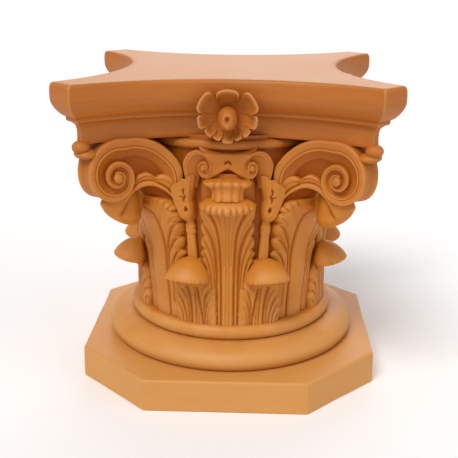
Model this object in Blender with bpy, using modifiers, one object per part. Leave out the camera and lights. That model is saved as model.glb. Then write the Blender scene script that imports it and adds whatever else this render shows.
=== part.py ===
"""Corinthian capital on round base mouldings and a square plinth with cut corners, cast in one.

Units are metres, +Z is up and the front faces -Y. The origin is at the centre of the underside, which
stands on the floor. The foot stands on the plinth, the carved bell on the foot and the abacus on the
bell, so every height below is measured from the piece that carries it. All four faces are alike.
"""
import math

import bmesh
import bpy
import numpy as np
from mathutils import Matrix
from mathutils.kdtree import KDTree

# Plinth
PLINTH_WIDTH = 0.400
PLINTH_CUT = 0.094
PLINTH_HEIGHT = 0.044
PLINTH_EDGE = 0.0015

# Round mouldings under the bell
TORUS_RADIUS = 0.1765
TORUS_HEIGHT = 0.0302
TORUS_BELLY = 0.0110
TORUS_BULGE = 0.0330
ANNULET_RADIUS = 0.1445
ANNULET_HEIGHT = 0.0186
ANNULET_BULGE = 0.0065

# Bell and its lip
BELL_RADIUS = 0.1260
BELL_HEIGHT = 0.2522
BELL_LIP_RADIUS = 0.1390
BELL_LIP_HEIGHT = 0.0100
BELL_NECK = 0.0040

# Abacus: four hollow sides that meet in cut corners
ABACUS_WIDTH = 0.4226
ABACUS_CUT = 0.0307
ABACUS_HOLLOW = 0.0663
ABACUS_HEIGHT = 0.0750
ABACUS_OVOLO = 0.0185
ABACUS_STEP = 0.0290
ABACUS_CORNER_STEP = 0.0255
ABACUS_FASCIA_CUT = 0.0070
ABACUS_FASCIA_HEIGHT = 0.0220
ABACUS_FACE_HEIGHT = 0.0230
ABACUS_EDGE = 0.0015

# Leaves: eight low ones in front of eight tall ones
LEAF_THICKNESS = 0.0095
RIB_GROOVE_DEPTH = 0.0045
RIB_GROOVE_WIDTH = 0.0022
LOW_LEAF_ANGLE = 19.0
LOW_LEAF_WIDTH = 0.0640
LOW_LEAF_RISE = 0.0940
LOW_LEAF_REACH = 0.0365
LOW_LEAF_RIB = 0.0070
MIDDLE_LEAF_WIDTH = 0.0720
MIDDLE_LEAF_RISE = 0.1815
MIDDLE_LEAF_REACH = 0.0360
MIDDLE_LEAF_FOOT = 0.0085
MIDDLE_LEAF_LEAN = 0.0140
MIDDLE_LEAF_RIB = 0.0085
CORNER_LEAF_WIDTH = 0.0860
CORNER_LEAF_RISE = 0.1920
CORNER_LEAF_REACH = 0.0900
CORNER_LEAF_FOOT = 0.0015
CORNER_LEAF_LEAN = 0.0200
CORNER_LEAF_RIB = 0.0095
CORNER_TIP_WIDTH = 0.0540
CORNER_TIP_THICKNESS = 0.0120
BUD_WIDTH = 0.0620
BUD_RISE = 0.2015
BUD_REACH = 0.0290

# Scrolls: a large one at each end of a face, and two small ones in its middle
VOLUTE_INBOARD = 0.0446
VOLUTE_DROP = 0.0460
VOLUTE_RADIUS = 0.0500
VOLUTE_INSET = 0.0190
VOLUTE_BAND = 0.0120
VOLUTE_DEPTH = 0.0240
VOLUTE_EYE = 0.0065
VOLUTE_FLARE = 0.0080
HELIX_OFFSET = 0.0287
HELIX_DROP = 0.0335
HELIX_RADIUS = 0.0260
HELIX_BAND = 0.0070
HELIX_STAND = 0.0230
HELIX_EYE = 0.0048
SHEATH_OFFSET = 0.0500
SHEATH_RISE = 0.1450
SHEATH_HEIGHT = 0.0560
SHEATH_WIDTH = 0.0270

# Flower in the middle of each side of the abacus
FLOWER_WIDTH = 0.0780
FLOWER_HEIGHT = 0.0680
FLOWER_DROP = 0.0435
FLOWER_PROUD = 0.0160
FLOWER_PETALS = 7
FLOWER_BOSS = 0.0130
FLOWER_BOSS_PROUD = 0.0305

# Bud under each corner of the abacus
KNOB_WIDTH = 0.0260
KNOB_HEIGHT = 0.0180
KNOB_DROP = 0.0065
KNOB_LENGTH = 0.0400

# Plaster behind the large scrolls at each corner
BACKING_WIDTH = 0.0600
BACKING_HEIGHT = 0.0330
BACKING_STOP = 0.0700

# Fineness of the carving
CARVING_VOXEL = 0.0026
SOLID_TRIANGLES = 9800
OVERLAP = 0.0060
WELD = 0.00001
PINHOLE = 0.0025
SHARP_ANGLE = 40.0

FOOT_TOP = PLINTH_HEIGHT + TORUS_HEIGHT + ANNULET_HEIGHT
ABACUS_BASE = FOOT_TOP + BELL_HEIGHT
TOP = ABACUS_BASE + ABACUS_HEIGHT
LEAF_RADIUS = BELL_RADIUS + LEAF_THICKNESS


def smooth_step(value):
    """Rise smoothly from 0 at value 0 to 1 at value 1."""
    share = np.clip(value, 0.0, 1.0)
    return share * share * (3.0 - 2.0 * share)


def new_object(name, mesh, collection):
    thing = bpy.data.objects.new(name, mesh)
    collection.objects.link(thing)
    return thing


def loft(name, rings):
    """Closed mesh through rings of points, each ring counter-clockwise seen from the next one."""
    rings = np.asarray(rings, dtype=float)
    count, around = rings.shape[0], rings.shape[1]
    points = rings.reshape(-1, 3).tolist()
    points.append(rings[0].mean(axis=0).tolist())
    points.append(rings[-1].mean(axis=0).tolist())
    first_pole, last_pole = count * around, count * around + 1
    faces = []
    for row in range(count - 1):
        for step in range(around):
            after = (step + 1) % around
            faces.append((row * around + step, row * around + after,
                          (row + 1) * around + after, (row + 1) * around + step))
    for step in range(around):
        after = (step + 1) % around
        faces.append((first_pole, after, step))
        faces.append((last_pole, (count - 1) * around + step, (count - 1) * around + after))
    mesh = bpy.data.meshes.new(name)
    mesh.from_pydata(points, [], faces)
    return mesh


def outward(mesh):
    """Turn a closed mesh's faces outwards."""
    shape = bmesh.new()
    shape.from_mesh(mesh)
    bmesh.ops.recalc_face_normals(shape, faces=shape.faces)
    shape.to_mesh(mesh)
    shape.free()
    return mesh


def round_to(angle, radius, height):
    """Point at an angle in radians from the front towards +X, at a radius and a height."""
    angle, radius, height = np.broadcast_arrays(angle, radius, height)
    return np.stack([radius * np.sin(angle), -radius * np.cos(angle), height], axis=-1)


# Abacus outline
ABACUS_HALF = ABACUS_WIDTH / 2
SIDE_HALF = ABACUS_HALF - ABACUS_CUT
SIDE_RADIUS = (SIDE_HALF ** 2 + ABACUS_HOLLOW ** 2) / (2 * ABACUS_HOLLOW)
SIDE_CENTRE = ABACUS_HALF - ABACUS_HOLLOW + SIDE_RADIUS
CORNER_REACH = (ABACUS_HALF + SIDE_HALF) / math.sqrt(2)
VOLUTE_OFFSET = SIDE_HALF - VOLUTE_INBOARD


def abacus_ring(inset, height, steps=10):
    """Outline of the abacus moved in by the inset: four hollow arcs joined across the cut corners.

    The cut corners lie further in and get narrower as the inset grows to the fascia's. Each side is the
    arc through its own middle and the ends of the two corners.
    """
    share = inset / ABACUS_STEP
    along = CORNER_REACH - ABACUS_CORNER_STEP * share
    half_cut = (ABACUS_CUT + (ABACUS_FASCIA_CUT - ABACUS_CUT) * share) / math.sqrt(2)
    middle = ABACUS_HALF - ABACUS_HOLLOW - inset
    chord, hollow = (along - half_cut) / math.sqrt(2), (along + half_cut) / math.sqrt(2) - middle
    radius = (chord ** 2 + hollow ** 2) / (2 * hollow)
    end = math.asin(chord / radius)
    sweep = np.linspace(-end, end, steps + 1)
    across, depth = radius * np.sin(sweep), middle + radius * (1 - np.cos(sweep))
    sides = []
    for quarter in range(4):
        turn = quarter * math.pi / 2
        x = across * math.cos(turn) + depth * math.sin(turn)
        y = across * math.sin(turn) - depth * math.cos(turn)
        sides.append(np.stack([x, y, np.full_like(x, height)], axis=-1))
    return np.concatenate(sides)


def face_point(across, height, proud, inset):
    """Point on a hollow face: across it, at a height, and proud of the surface at the inset."""
    across, height, proud = np.broadcast_arrays(across, height, proud)
    angle = np.arcsin(across / (SIDE_RADIUS + inset))
    radius = SIDE_RADIUS + inset - proud
    return np.stack([radius * np.sin(angle), radius * np.cos(angle) - SIDE_CENTRE, height], axis=-1)


def plinth_mesh():
    """Block with cut corners, its edges slightly eased."""
    shape = bmesh.new()
    bmesh.ops.create_cube(shape, size=1.0)
    bmesh.ops.scale(shape, vec=(PLINTH_WIDTH, PLINTH_WIDTH, PLINTH_HEIGHT), verts=shape.verts)
    bmesh.ops.translate(shape, vec=(0, 0, PLINTH_HEIGHT / 2), verts=shape.verts)
    upright = [edge for edge in shape.edges if edge.verts[0].co.xy == edge.verts[1].co.xy]
    bmesh.ops.bevel(shape, geom=upright, offset=PLINTH_CUT, offset_type='OFFSET', segments=1,
                    affect='EDGES')
    bmesh.ops.bevel(shape, geom=list(shape.edges), offset=PLINTH_EDGE, offset_type='OFFSET',
                    segments=1, affect='EDGES')
    mesh = bpy.data.meshes.new("plinth")
    shape.to_mesh(mesh)
    shape.free()
    return mesh


def round_mouldings(collection):
    """Torus and annulet, turned from a profile that runs down their outer side."""
    torus_top = PLINTH_HEIGHT + TORUS_HEIGHT
    profile = [(0.0, FOOT_TOP), (ANNULET_RADIUS - 1.6 * ANNULET_BULGE, FOOT_TOP)]
    for angle in (50, 10, -30):
        turn = math.radians(angle)
        profile.append((ANNULET_RADIUS - ANNULET_BULGE * (1 - math.cos(turn)),
                        torus_top + ANNULET_HEIGHT * (0.5 + 0.55 * math.sin(turn))))
    profile.append((ANNULET_RADIUS - 0.7 * ANNULET_BULGE, torus_top))
    for angle in range(75, -31, -21):
        turn = math.radians(angle)
        profile.append((TORUS_RADIUS - TORUS_BULGE * (1 - math.cos(turn)),
                        PLINTH_HEIGHT + TORUS_BELLY + (TORUS_HEIGHT - TORUS_BELLY) * math.sin(turn)))
    profile.append((TORUS_RADIUS - 0.2 * TORUS_BULGE, PLINTH_HEIGHT - OVERLAP))
    profile.append((0.0, PLINTH_HEIGHT - OVERLAP))
    mesh = bpy.data.meshes.new("mouldings")
    mesh.from_pydata([(radius, 0, height) for radius, height in profile],
                     [(step, step + 1) for step in range(len(profile) - 1)], [])
    thing = new_object("mouldings", mesh, collection)
    turning = thing.modifiers.new("turning", 'SCREW')
    turning.steps = 48
    turning.render_steps = 48
    turning.use_merge_vertices = True
    turning.merge_threshold = 0.0001
    return thing


def abacus_mesh():
    """Lower fascia, cove, fillet, ovolo and tall upper face, lofted between hollow outlines.

    The underside has inner rings, so that where the carving meets it no face is cut by a closed loop.
    """
    cove_base = ABACUS_BASE + ABACUS_FASCIA_HEIGHT
    moulded = TOP - ABACUS_FACE_HEIGHT - cove_base
    profile = [(ABACUS_STEP - 0.002, ABACUS_BASE), (ABACUS_STEP, ABACUS_BASE + 0.3 * ABACUS_FASCIA_HEIGHT),
               (ABACUS_STEP, cove_base), (ABACUS_OVOLO + 0.003, cove_base + 0.15 * moulded),
               (ABACUS_OVOLO, cove_base + 0.20 * moulded), (0.9 * ABACUS_OVOLO, cove_base + 0.35 * moulded)]
    for angle in (30, 60):
        turn = math.radians(angle)
        profile.append((0.84 * ABACUS_OVOLO * (1 - math.sin(turn)),
                        cove_base + moulded * (0.40 + 1.07 * (1 - math.cos(turn)))))
    profile += [(0.0, TOP - ABACUS_FACE_HEIGHT), (0.0, TOP - ABACUS_EDGE), (ABACUS_EDGE, TOP)]
    rings = [abacus_ring(inset, height) for inset, height in profile]
    inner = [rings[0] * (share, share, 1) for share in (0.4, 0.6, 0.8)]
    return loft("abacus", inner + rings)


def leaf_edge(offset, half_width, softness=0.0035):
    """1 on the leaf and 0 beside it, with a soft edge."""
    return smooth_step((half_width - np.abs(offset)) / softness + 0.5)


def rib_groove(offset, rib):
    """Depth of the two grooves that part a leaf's midrib from its sides."""
    return RIB_GROOVE_DEPTH * np.exp(-((np.abs(offset) - rib) / RIB_GROOVE_WIDTH) ** 2)


def bell_radius_at(height):
    """Radius of the plain bell: nearly straight, flaring to the lip and drawn in above it."""
    lip_base = ABACUS_BASE - BELL_NECK - BELL_LIP_HEIGHT
    flare = smooth_step((height - FOOT_TOP) / (lip_base - FOOT_TOP)) ** 3
    radius = BELL_RADIUS + (BELL_LIP_RADIUS - 0.007 - BELL_RADIUS) * flare
    on_lip = (height > lip_base) & (height < ABACUS_BASE - BELL_NECK)
    return np.where(on_lip, BELL_LIP_RADIUS, radius)


def carved_bell():
    """Bell with the flat parts of its leaves, as one radius for each angle and height.

    A leaf stands on the bell by its thickness inside its outline, and a tall one by less at its foot.
    The low leaves cover the tall ones and a groove runs round them; each tall leaf leans out where
    its tip turns over.
    """
    lip_base = ABACUS_BASE - BELL_NECK - BELL_LIP_HEIGHT
    heights = np.concatenate([np.linspace(FOOT_TOP - OVERLAP, lip_base - 0.016, 76),
                              np.linspace(lip_base - 0.014, ABACUS_BASE + OVERLAP, 20)])
    angles = np.linspace(0, 2 * math.pi, 384, endpoint=False)
    height, angle = np.meshgrid(heights, angles, indexing="ij")
    rise = height - FOOT_TOP
    bell = bell_radius_at(height)
    relief = np.zeros_like(bell)
    corner = (CORNER_LEAF_WIDTH, CORNER_LEAF_RISE, CORNER_LEAF_FOOT, CORNER_LEAF_LEAN, CORNER_LEAF_RIB)
    middle = (MIDDLE_LEAF_WIDTH, MIDDLE_LEAF_RISE, MIDDLE_LEAF_FOOT, MIDDLE_LEAF_LEAN, MIDDLE_LEAF_RIB)
    tall = [(45 + 90 * side, *corner) for side in range(4)]
    tall += [(90 * side, *middle) for side in range(4)]
    for centre, width, top, foot, lean, rib in tall:
        offset = ((angle - math.radians(centre) + math.pi) % (2 * math.pi) - math.pi) * LEAF_RADIUS
        share = rise / top
        half_width = width / 2 * np.sqrt(1 - np.clip((share - 0.74) / 0.28, 0.0, 1.0) ** 2)
        body = foot + (LEAF_THICKNESS - foot) * smooth_step(share / 0.5)
        body += lean * smooth_step((share - 0.50) / 0.40)
        body -= rib_groove(offset, rib)
        body *= leaf_edge(offset, half_width, 0.005)
        relief = np.maximum(relief, body)
    for side in range(4):
        for centre in (90 * side + LOW_LEAF_ANGLE, 90 * side - LOW_LEAF_ANGLE):
            offset = ((angle - math.radians(centre) + math.pi) % (2 * math.pi) - math.pi) * LEAF_RADIUS
            share = rise / LOW_LEAF_RISE
            half_width = LOW_LEAF_WIDTH / 2 * np.sqrt(np.clip(1.02 - share ** 4, 0.0, 1.0))
            groove = leaf_edge(offset, half_width + 0.003) * smooth_step((1.02 - share) / 0.04)
            body = LEAF_THICKNESS + 0.001 - rib_groove(offset, LOW_LEAF_RIB)
            body *= leaf_edge(offset, half_width - 0.0015) * smooth_step((1.0 - share) / 0.05)
            relief = np.where(groove > 0, np.maximum(relief * (1 - 0.75 * groove), body), relief)
    rings = round_to(angle, bell + relief, height)
    return loft("bell", rings)


def turned_over_tip(centre, foot, reach, width, profile, droop, buried=0.016, steps=28):
    """Closed shell of a leaf tip that turns over, as level rings of half an ellipse.

    The profile lists the share of the reach at each height. A ring is half an ellipse in front of the
    leaf, as wide as the square root of that share, and a shallow back inside the bell. The droop
    lowers its two ends.
    """
    around = np.linspace(0, 2 * math.pi, steps, endpoint=False)
    side, front = np.sin(around), np.cos(around)
    rings = []
    for share, height in profile:
        half_width = width / 2 * max(share, 0.02) ** 0.5
        ahead = np.where(front > 0, reach * share * front, buried * front)
        offset = half_width * side
        rings.append(round_to(centre + offset / foot, foot + ahead,
                              height - droop * side ** 2 * share))
    return loft("tip", rings[::-1])


def low_leaf_tip(centre):
    top = FOOT_TOP + LOW_LEAF_RISE
    profile = [(0.02, top), (0.30, top - 0.0030), (0.58, top - 0.0095), (0.82, top - 0.0170),
               (0.95, top - 0.0215), (1.00, top - 0.0245), (0.97, top - 0.0270), (0.80, top - 0.0295),
               (0.50, top - 0.0340), (0.25, top - 0.0385), (0.05, top - 0.0410)]
    return turned_over_tip(centre, LEAF_RADIUS, LOW_LEAF_REACH, LOW_LEAF_WIDTH * 0.95, profile, 0.004)


def middle_leaf_tip(centre):
    top = FOOT_TOP + MIDDLE_LEAF_RISE
    profile = [(0.05, top + 0.001), (0.55, top), (0.85, top - 0.0020), (0.96, top - 0.0055),
               (1.00, top - 0.0100), (0.97, top - 0.0155), (0.86, top - 0.0190), (0.60, top - 0.0220),
               (0.35, top - 0.0270), (0.05, top - 0.0340)]
    return turned_over_tip(centre, LEAF_RADIUS, MIDDLE_LEAF_REACH, MIDDLE_LEAF_WIDTH, profile, -0.005)


def bud(centre):
    """Small rolled leaf over the middle leaf's tip."""
    top = FOOT_TOP + BUD_RISE
    profile = [(0.10, top), (0.55, top + 0.001), (0.85, top - 0.0020), (0.98, top - 0.0080),
               (1.00, top - 0.0130), (0.93, top - 0.0190), (0.78, top - 0.0240), (0.50, top - 0.0290),
               (0.20, top - 0.0330)]
    return turned_over_tip(centre, LEAF_RADIUS, BUD_REACH, BUD_WIDTH, profile, 0.003)


def bezier(start, first, second, end, steps):
    """Points along a cubic curve with two guide points."""
    share = np.linspace(0, 1, steps)[:, None]
    start, first, second, end = (np.array(point) for point in (start, first, second, end))
    return ((1 - share) ** 3 * start + 3 * (1 - share) ** 2 * share * first
            + 3 * (1 - share) * share ** 2 * second + share ** 3 * end)


def on_diagonal(along, across, height):
    """Point at a distance along the diagonal of the front right corner, and across it."""
    along, across, height = np.broadcast_arrays(along, across, height)
    return np.stack([(along + across) / math.sqrt(2), (across - along) / math.sqrt(2), height], axis=-1)


def corner_leaf_tip():
    """Tip of a corner leaf: it leans out along the diagonal, turns over and hangs.

    A curve in the upright plane through the corner carries a flat oval section.
    """
    foot, top = LEAF_RADIUS, FOOT_TOP + CORNER_LEAF_RISE
    reach = CORNER_LEAF_REACH - 0.008
    rise = bezier((foot - 0.010, top - 0.052), (foot + 0.010, top - 0.020), (foot + 0.020, top - 0.007),
                  (foot + 0.60 * reach, top - 0.007), 9)
    fall = bezier(rise[-1], (foot + 1.04 * reach, top - 0.007), (foot + 1.20 * reach, top - 0.042),
                  (foot + 0.42 * reach, top - 0.047), 12)
    line = np.concatenate([rise[:-1], fall])
    direction = np.gradient(line, axis=0)
    direction /= np.linalg.norm(direction, axis=1)[:, None]
    share = np.linspace(0, 1, len(line))
    half_width = CORNER_TIP_WIDTH / 2 * (0.9 + 0.1 * smooth_step(share * 2))
    half_width *= 1 - 0.55 * smooth_step((share - 0.55) / 0.45)
    half_depth = CORNER_TIP_THICKNESS / 2 * (1 + 0.6 * smooth_step(share * 2))
    around = np.linspace(0, 2 * math.pi, 20, endpoint=False)
    rings = []
    for point, along, wide, deep in zip(line, direction, half_width, half_depth):
        radius = point[0] + along[1] * deep * np.sin(around)
        height = point[1] - along[0] * deep * np.sin(around)
        rings.append(on_diagonal(radius, wide * np.cos(around), height))
    return [loft("corner leaf", rings), corner_leaf_lobe(foot + 0.50 * reach, top - 0.027)]


def corner_leaf_lobe(radius, height):
    """Rolled lobe that fills the hollow of the turned-over tip, set back from its sides."""
    around = np.linspace(0, 2 * math.pi, 16, endpoint=False)
    rings = []
    for share in np.linspace(-0.96, 0.96, 9):
        size = math.sqrt(1 - share ** 4)
        rings.append(on_diagonal(radius + 0.40 * CORNER_LEAF_REACH * size * np.cos(around),
                                 CORNER_TIP_WIDTH * 0.37 * share,
                                 height + 0.23 * CORNER_LEAF_REACH * size * np.sin(around)))
    return loft("lobe", rings)


def spiral(centre, radius, start, turns, tightening, squeeze, steps):
    """Points of a spiral that turns clockwise and shrinks by an equal share for each radian."""
    travel = np.linspace(0, turns * 2 * math.pi, steps)
    angle = math.radians(start) - travel
    size = radius * np.exp(-tightening * travel)
    return np.stack([centre[0] + size * np.cos(angle) * squeeze[0],
                     centre[1] + size * np.sin(angle) * squeeze[1]], axis=-1)


def ribbon(edge, widths, place, front, back):
    """Band that follows an outer edge on a face, with a square section from front to back.

    The inner side of the band lies to the right of the direction of travel, at the width.
    """
    direction = np.gradient(edge, axis=0)
    direction /= np.linalg.norm(direction, axis=1)[:, None]
    inward = np.stack([direction[:, 1], -direction[:, 0]], axis=-1)
    widths = np.broadcast_to(widths, len(edge))[:, None]
    inner, mid = edge + inward * widths, edge + inward * widths * 0.5
    front = np.broadcast_to(front, len(edge))
    corners = [(edge, front), (edge, back), (inner, back), (inner, front), (mid, front)]
    sections = [place(line[:, 0], line[:, 1], depth) for line, depth in corners]
    return loft("band", np.stack(sections, axis=1))


def volute_edge():
    """Outer edge of the large scroll: its stem, then the spiral."""
    centre = (VOLUTE_OFFSET, ABACUS_BASE - VOLUTE_DROP)
    coil = spiral(centre, VOLUTE_RADIUS, 105, 1.85, 0.14, (0.78, 1.0), 60)
    base = (SHEATH_OFFSET + 0.011, FOOT_TOP + SHEATH_RISE + SHEATH_HEIGHT * 0.8)
    lean = coil[1] - coil[0]
    guide = coil[0] - lean / np.linalg.norm(lean) * VOLUTE_RADIUS * 0.65
    stem = bezier(base, (base[0] + 0.001, base[1] + 0.028), guide, coil[0], 16)
    return np.concatenate([stem[:-1], coil])


def helix_edge():
    """Outer edge of the small scroll, drawn clockwise like the large one and mirrored when placed."""
    centre = (-HELIX_OFFSET, ABACUS_BASE - HELIX_DROP)
    coil = spiral(centre, HELIX_RADIUS, 180, 1.45, 0.19, (1.0, 1.15), 44)
    base = (-SHEATH_OFFSET - 0.009, FOOT_TOP + SHEATH_RISE + SHEATH_HEIGHT * 0.8)
    stem = bezier(base, (base[0], base[1] + 0.008), (coil[0][0], coil[0][1] - 0.010), coil[0], 8)
    return np.concatenate([stem[:-1], coil])


def on_hollow(across, height, proud):
    return face_point(across, height, proud, VOLUTE_INSET)


def on_bell(across, height, proud):
    radius = BELL_RADIUS + HELIX_STAND
    return round_to(across / radius, radius + proud, height)


def disc(centre, size, place, front, back, steps=24):
    """Round plate behind a scroll, or its eye when it stands in front."""
    angle = np.linspace(0, 2 * math.pi, steps, endpoint=False)
    rings = []
    for share, proud in ((0.6, front), (1.0, front - 0.3 * (front - back)), (1.0, back)):
        rings.append(place(centre[0] + size[0] * share * np.cos(angle),
                           centre[1] + size[1] * share * np.sin(angle), proud))
    return loft("disc", rings)


def volute():
    """One large scroll: stem and coil, the sunk plates behind them and the raised eye.

    The coil stands further out towards the corner, where it meets its neighbour's.
    """
    edge = volute_edge()
    travel = np.linspace(0, 1, len(edge))
    widths = VOLUTE_BAND * (0.40 + 0.60 * smooth_step(travel * 6))
    widths *= 1 - 0.50 * smooth_step((travel - 0.35) / 0.50)
    front = 0.001 + 0.005 * smooth_step((travel - 0.50) / 0.50)
    front += VOLUTE_FLARE * smooth_step((edge[:, 0] - VOLUTE_OFFSET) / (1.2 * VOLUTE_RADIUS) + 0.4)
    centre = (VOLUTE_OFFSET, ABACUS_BASE - VOLUTE_DROP)
    coil = ribbon(edge, widths, on_hollow, front, -VOLUTE_DEPTH)
    back = -1.25 * VOLUTE_DEPTH
    plate_centre = (centre[0] - 0.001, centre[1] + 0.004)
    plate_size = (VOLUTE_RADIUS * 0.50, VOLUTE_RADIUS * 0.62)
    plate = disc(plate_centre, plate_size, on_hollow, -0.50 * VOLUTE_DEPTH, back)
    shell_centre = (centre[0] - 0.62 * VOLUTE_RADIUS, centre[1] + 0.26 * VOLUTE_RADIUS)
    shell_size = (VOLUTE_RADIUS * 0.66, VOLUTE_RADIUS * 0.52)
    shell = disc(shell_centre, shell_size, on_hollow, -0.62 * VOLUTE_DEPTH, back)
    eye = disc(centre, (VOLUTE_EYE, VOLUTE_EYE), on_hollow, 0.010, -0.80 * VOLUTE_DEPTH, 12)
    return [coil, plate, shell, eye]


def helix():
    """One small scroll with its raised eye."""
    edge = helix_edge()
    travel = np.linspace(0, 1, len(edge))
    widths = HELIX_BAND * (1 - 0.45 * smooth_step((travel - 0.4) / 0.6))
    centre = (-HELIX_OFFSET, ABACUS_BASE - HELIX_DROP)
    coil = ribbon(edge, widths, on_bell, 0.001, -HELIX_STAND)
    plate = disc(centre, (HELIX_RADIUS * 0.62, HELIX_RADIUS * 0.75), on_bell, -0.006, -HELIX_STAND, 16)
    eye = disc(centre, (HELIX_EYE, HELIX_EYE), on_bell, 0.002, -0.016, 10)
    return [coil, plate, eye]


def saddle():
    """Web that joins the two small scrolls, hollowed between them."""
    across = np.linspace(-0.6, 0.6, 9) * HELIX_OFFSET
    top = ABACUS_BASE - BELL_NECK - BELL_LIP_HEIGHT + 0.002
    low = top - 0.027 - 0.010 * (across / HELIX_OFFSET) ** 2
    proud = -0.006 + 0.016 * (across / HELIX_OFFSET) ** 2
    sections = []
    for height, ahead in ((top, proud), (top, -HELIX_STAND), (low, -HELIX_STAND), (low, proud)):
        sections.append(on_bell(across, height, ahead))
    return loft("saddle", np.stack(sections, axis=1))


def sheath():
    """Vase-shaped sheath from which the scrolls grow, with the collar and stem under it."""
    base = FOOT_TOP + SHEATH_RISE
    around = np.linspace(0, 2 * math.pi, 16, endpoint=False)
    rings = []
    profile = ((-0.78, 0.30), (-0.26, 0.30), (-0.20, 0.46), (-0.07, 0.46), (-0.02, 0.36), (0.04, 0.62),
               (0.25, 0.86), (0.60, 1.04), (1.00, 1.12))
    for share, size in profile:
        half = SHEATH_WIDTH / 2 * size
        across = SHEATH_OFFSET + 0.004 * max(share, 0.0) + half * np.cos(around)
        radius = BELL_RADIUS + 0.006 + 0.007 * smooth_step(share / 0.5) + 0.35 * half
        rings.append(round_to(across / (BELL_RADIUS + 0.014),
                              radius + (0.6 * half + 0.002) * np.sin(around), base + SHEATH_HEIGHT * share))
    return loft("sheath", rings)


def sheath_leaf():
    """Leaf that grows out of the sheath, arches under the large scroll and carries it."""
    base = FOOT_TOP + SHEATH_RISE
    line = bezier((SHEATH_OFFSET + 0.006, base + 0.014), (SHEATH_OFFSET + 0.016, base + 0.052),
                  (VOLUTE_OFFSET - 0.052, base + 0.062), (VOLUTE_OFFSET - 0.012, base + 0.052), 18)
    share = np.linspace(0, 1, 18)
    widths = 0.010 + 0.014 * smooth_step(share * 3) * (1 - 0.4 * smooth_step((share - 0.6) / 0.4))
    return ribbon(line + np.array([0.0, 0.008]), widths, on_hollow, -0.006 - 0.004 * share, -0.026)


def corner_knob():
    """Bud that fills the angle between two large scrolls under the corner of the abacus."""
    angle = np.linspace(0, 2 * math.pi, 16, endpoint=False)
    rings = []
    middle = CORNER_REACH - ABACUS_STEP - KNOB_LENGTH / 8
    for share in np.linspace(-0.95, 0.95, 9):
        size = math.sqrt(1 - share * share)
        height = ABACUS_BASE - KNOB_DROP + KNOB_HEIGHT / 2 * size * np.sin(angle)
        rings.append(on_diagonal(middle + KNOB_LENGTH / 2 * share,
                                 KNOB_WIDTH / 2 * size * np.cos(angle), height))
    return loft("knob", rings)


def corner_backing():
    """Solid plaster behind two large scrolls, from the bell to where their backs meet."""
    around = np.linspace(0, 2 * math.pi, 16, endpoint=False)
    low, high = ABACUS_BASE - BACKING_HEIGHT, ABACUS_BASE + OVERLAP
    rings = []
    for share in np.linspace(0, 1, 5):
        along = BELL_RADIUS - OVERLAP + share * (CORNER_REACH - ABACUS_STEP - BACKING_STOP - BELL_RADIUS)
        half_width = BACKING_WIDTH / 2 * (1 - 0.65 * share)
        rings.append(on_diagonal(along, half_width * np.clip(1.5 * np.cos(around), -1, 1),
                                 (low + high) / 2 + (high - low) / 2 * np.clip(1.5 * np.sin(around), -1, 1)))
    return loft("backing", rings)


def flower():
    """Open flower on the middle of a side: a dish with a scalloped edge and a drooping boss."""
    centre = (0.0, TOP - FLOWER_DROP)
    angle = np.linspace(0, 2 * math.pi, FLOWER_PETALS * 8, endpoint=False)
    scallop = 1 - 0.16 * np.abs(np.cos(FLOWER_PETALS * (angle - math.pi / 2) / 2 + math.pi / 2)) ** 3
    rings = []
    profile = ((0.20, 0.25), (0.60, 0.25), (0.90, 1.0), (1.00, 0.8), (0.93, 0.1), (0.80, -1.4))
    for share, out in profile:
        rings.append(face_point(centre[0] + FLOWER_WIDTH / 2 * share * scallop * np.cos(angle),
                                centre[1] + FLOWER_HEIGHT / 2 * share * scallop * np.sin(angle),
                                FLOWER_PROUD * out, 0.0))
    petals = loft("petals", rings)
    around = np.linspace(0, 2 * math.pi, 16, endpoint=False)
    rings = []
    profile = ((1.0, -0.33, 0.0), (1.0, 0.46, 0.001), (0.9, 0.72, 0.003), (0.6, 0.92, 0.006),
               (0.2, 1.0, 0.008))
    for share, out, drop in profile:
        rings.append(face_point(centre[0] + FLOWER_BOSS * share * np.cos(around),
                                centre[1] - 0.002 - drop + FLOWER_BOSS * 1.1 * share * np.sin(around),
                                FLOWER_BOSS_PROUD * out, 0.0))
    return [petals, loft("boss", rings[::-1])]


def gather(shape, mesh, side, mirrored=False):
    """Add to the shape a copy of a closed mesh, turned to a side and mirrored first if asked."""
    outward(mesh)
    before = len(shape.verts)
    faces_before = len(shape.faces)
    shape.from_mesh(mesh)
    shape.verts.ensure_lookup_table()
    shape.faces.ensure_lookup_table()
    added = shape.verts[before:]
    if mirrored:
        bmesh.ops.scale(shape, vec=(-1, 1, 1), verts=added)
        bmesh.ops.reverse_faces(shape, faces=shape.faces[faces_before:])
    turn = Matrix.Rotation(side * math.pi / 2, 3, 'Z')
    bmesh.ops.rotate(shape, cent=(0, 0, 0), matrix=turn, verts=added)


def carving(collection):
    """Bell, leaves, scrolls and flowers grown into one fine skin."""
    shape = bmesh.new()
    gather(shape, carved_bell(), 0)
    paired = volute() + helix()
    paired += [sheath(), sheath_leaf(), low_leaf_tip(math.radians(LOW_LEAF_ANGLE))]
    single = [saddle(), middle_leaf_tip(0.0), bud(0.0), corner_knob(), corner_backing()]
    single += corner_leaf_tip() + flower()
    for piece in paired:
        for side in range(4):
            gather(shape, piece, side)
            gather(shape, piece, side, mirrored=True)
    for piece in single:
        for side in range(4):
            gather(shape, piece, side)
    mesh = bpy.data.meshes.new("carving")
    shape.to_mesh(mesh)
    shape.free()
    thing = new_object("carving", mesh, collection)
    skin = thing.modifiers.new("skin", 'REMESH')
    skin.mode = 'VOXEL'
    skin.voxel_size = CARVING_VOXEL
    apply_modifiers(thing)
    return thing


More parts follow.
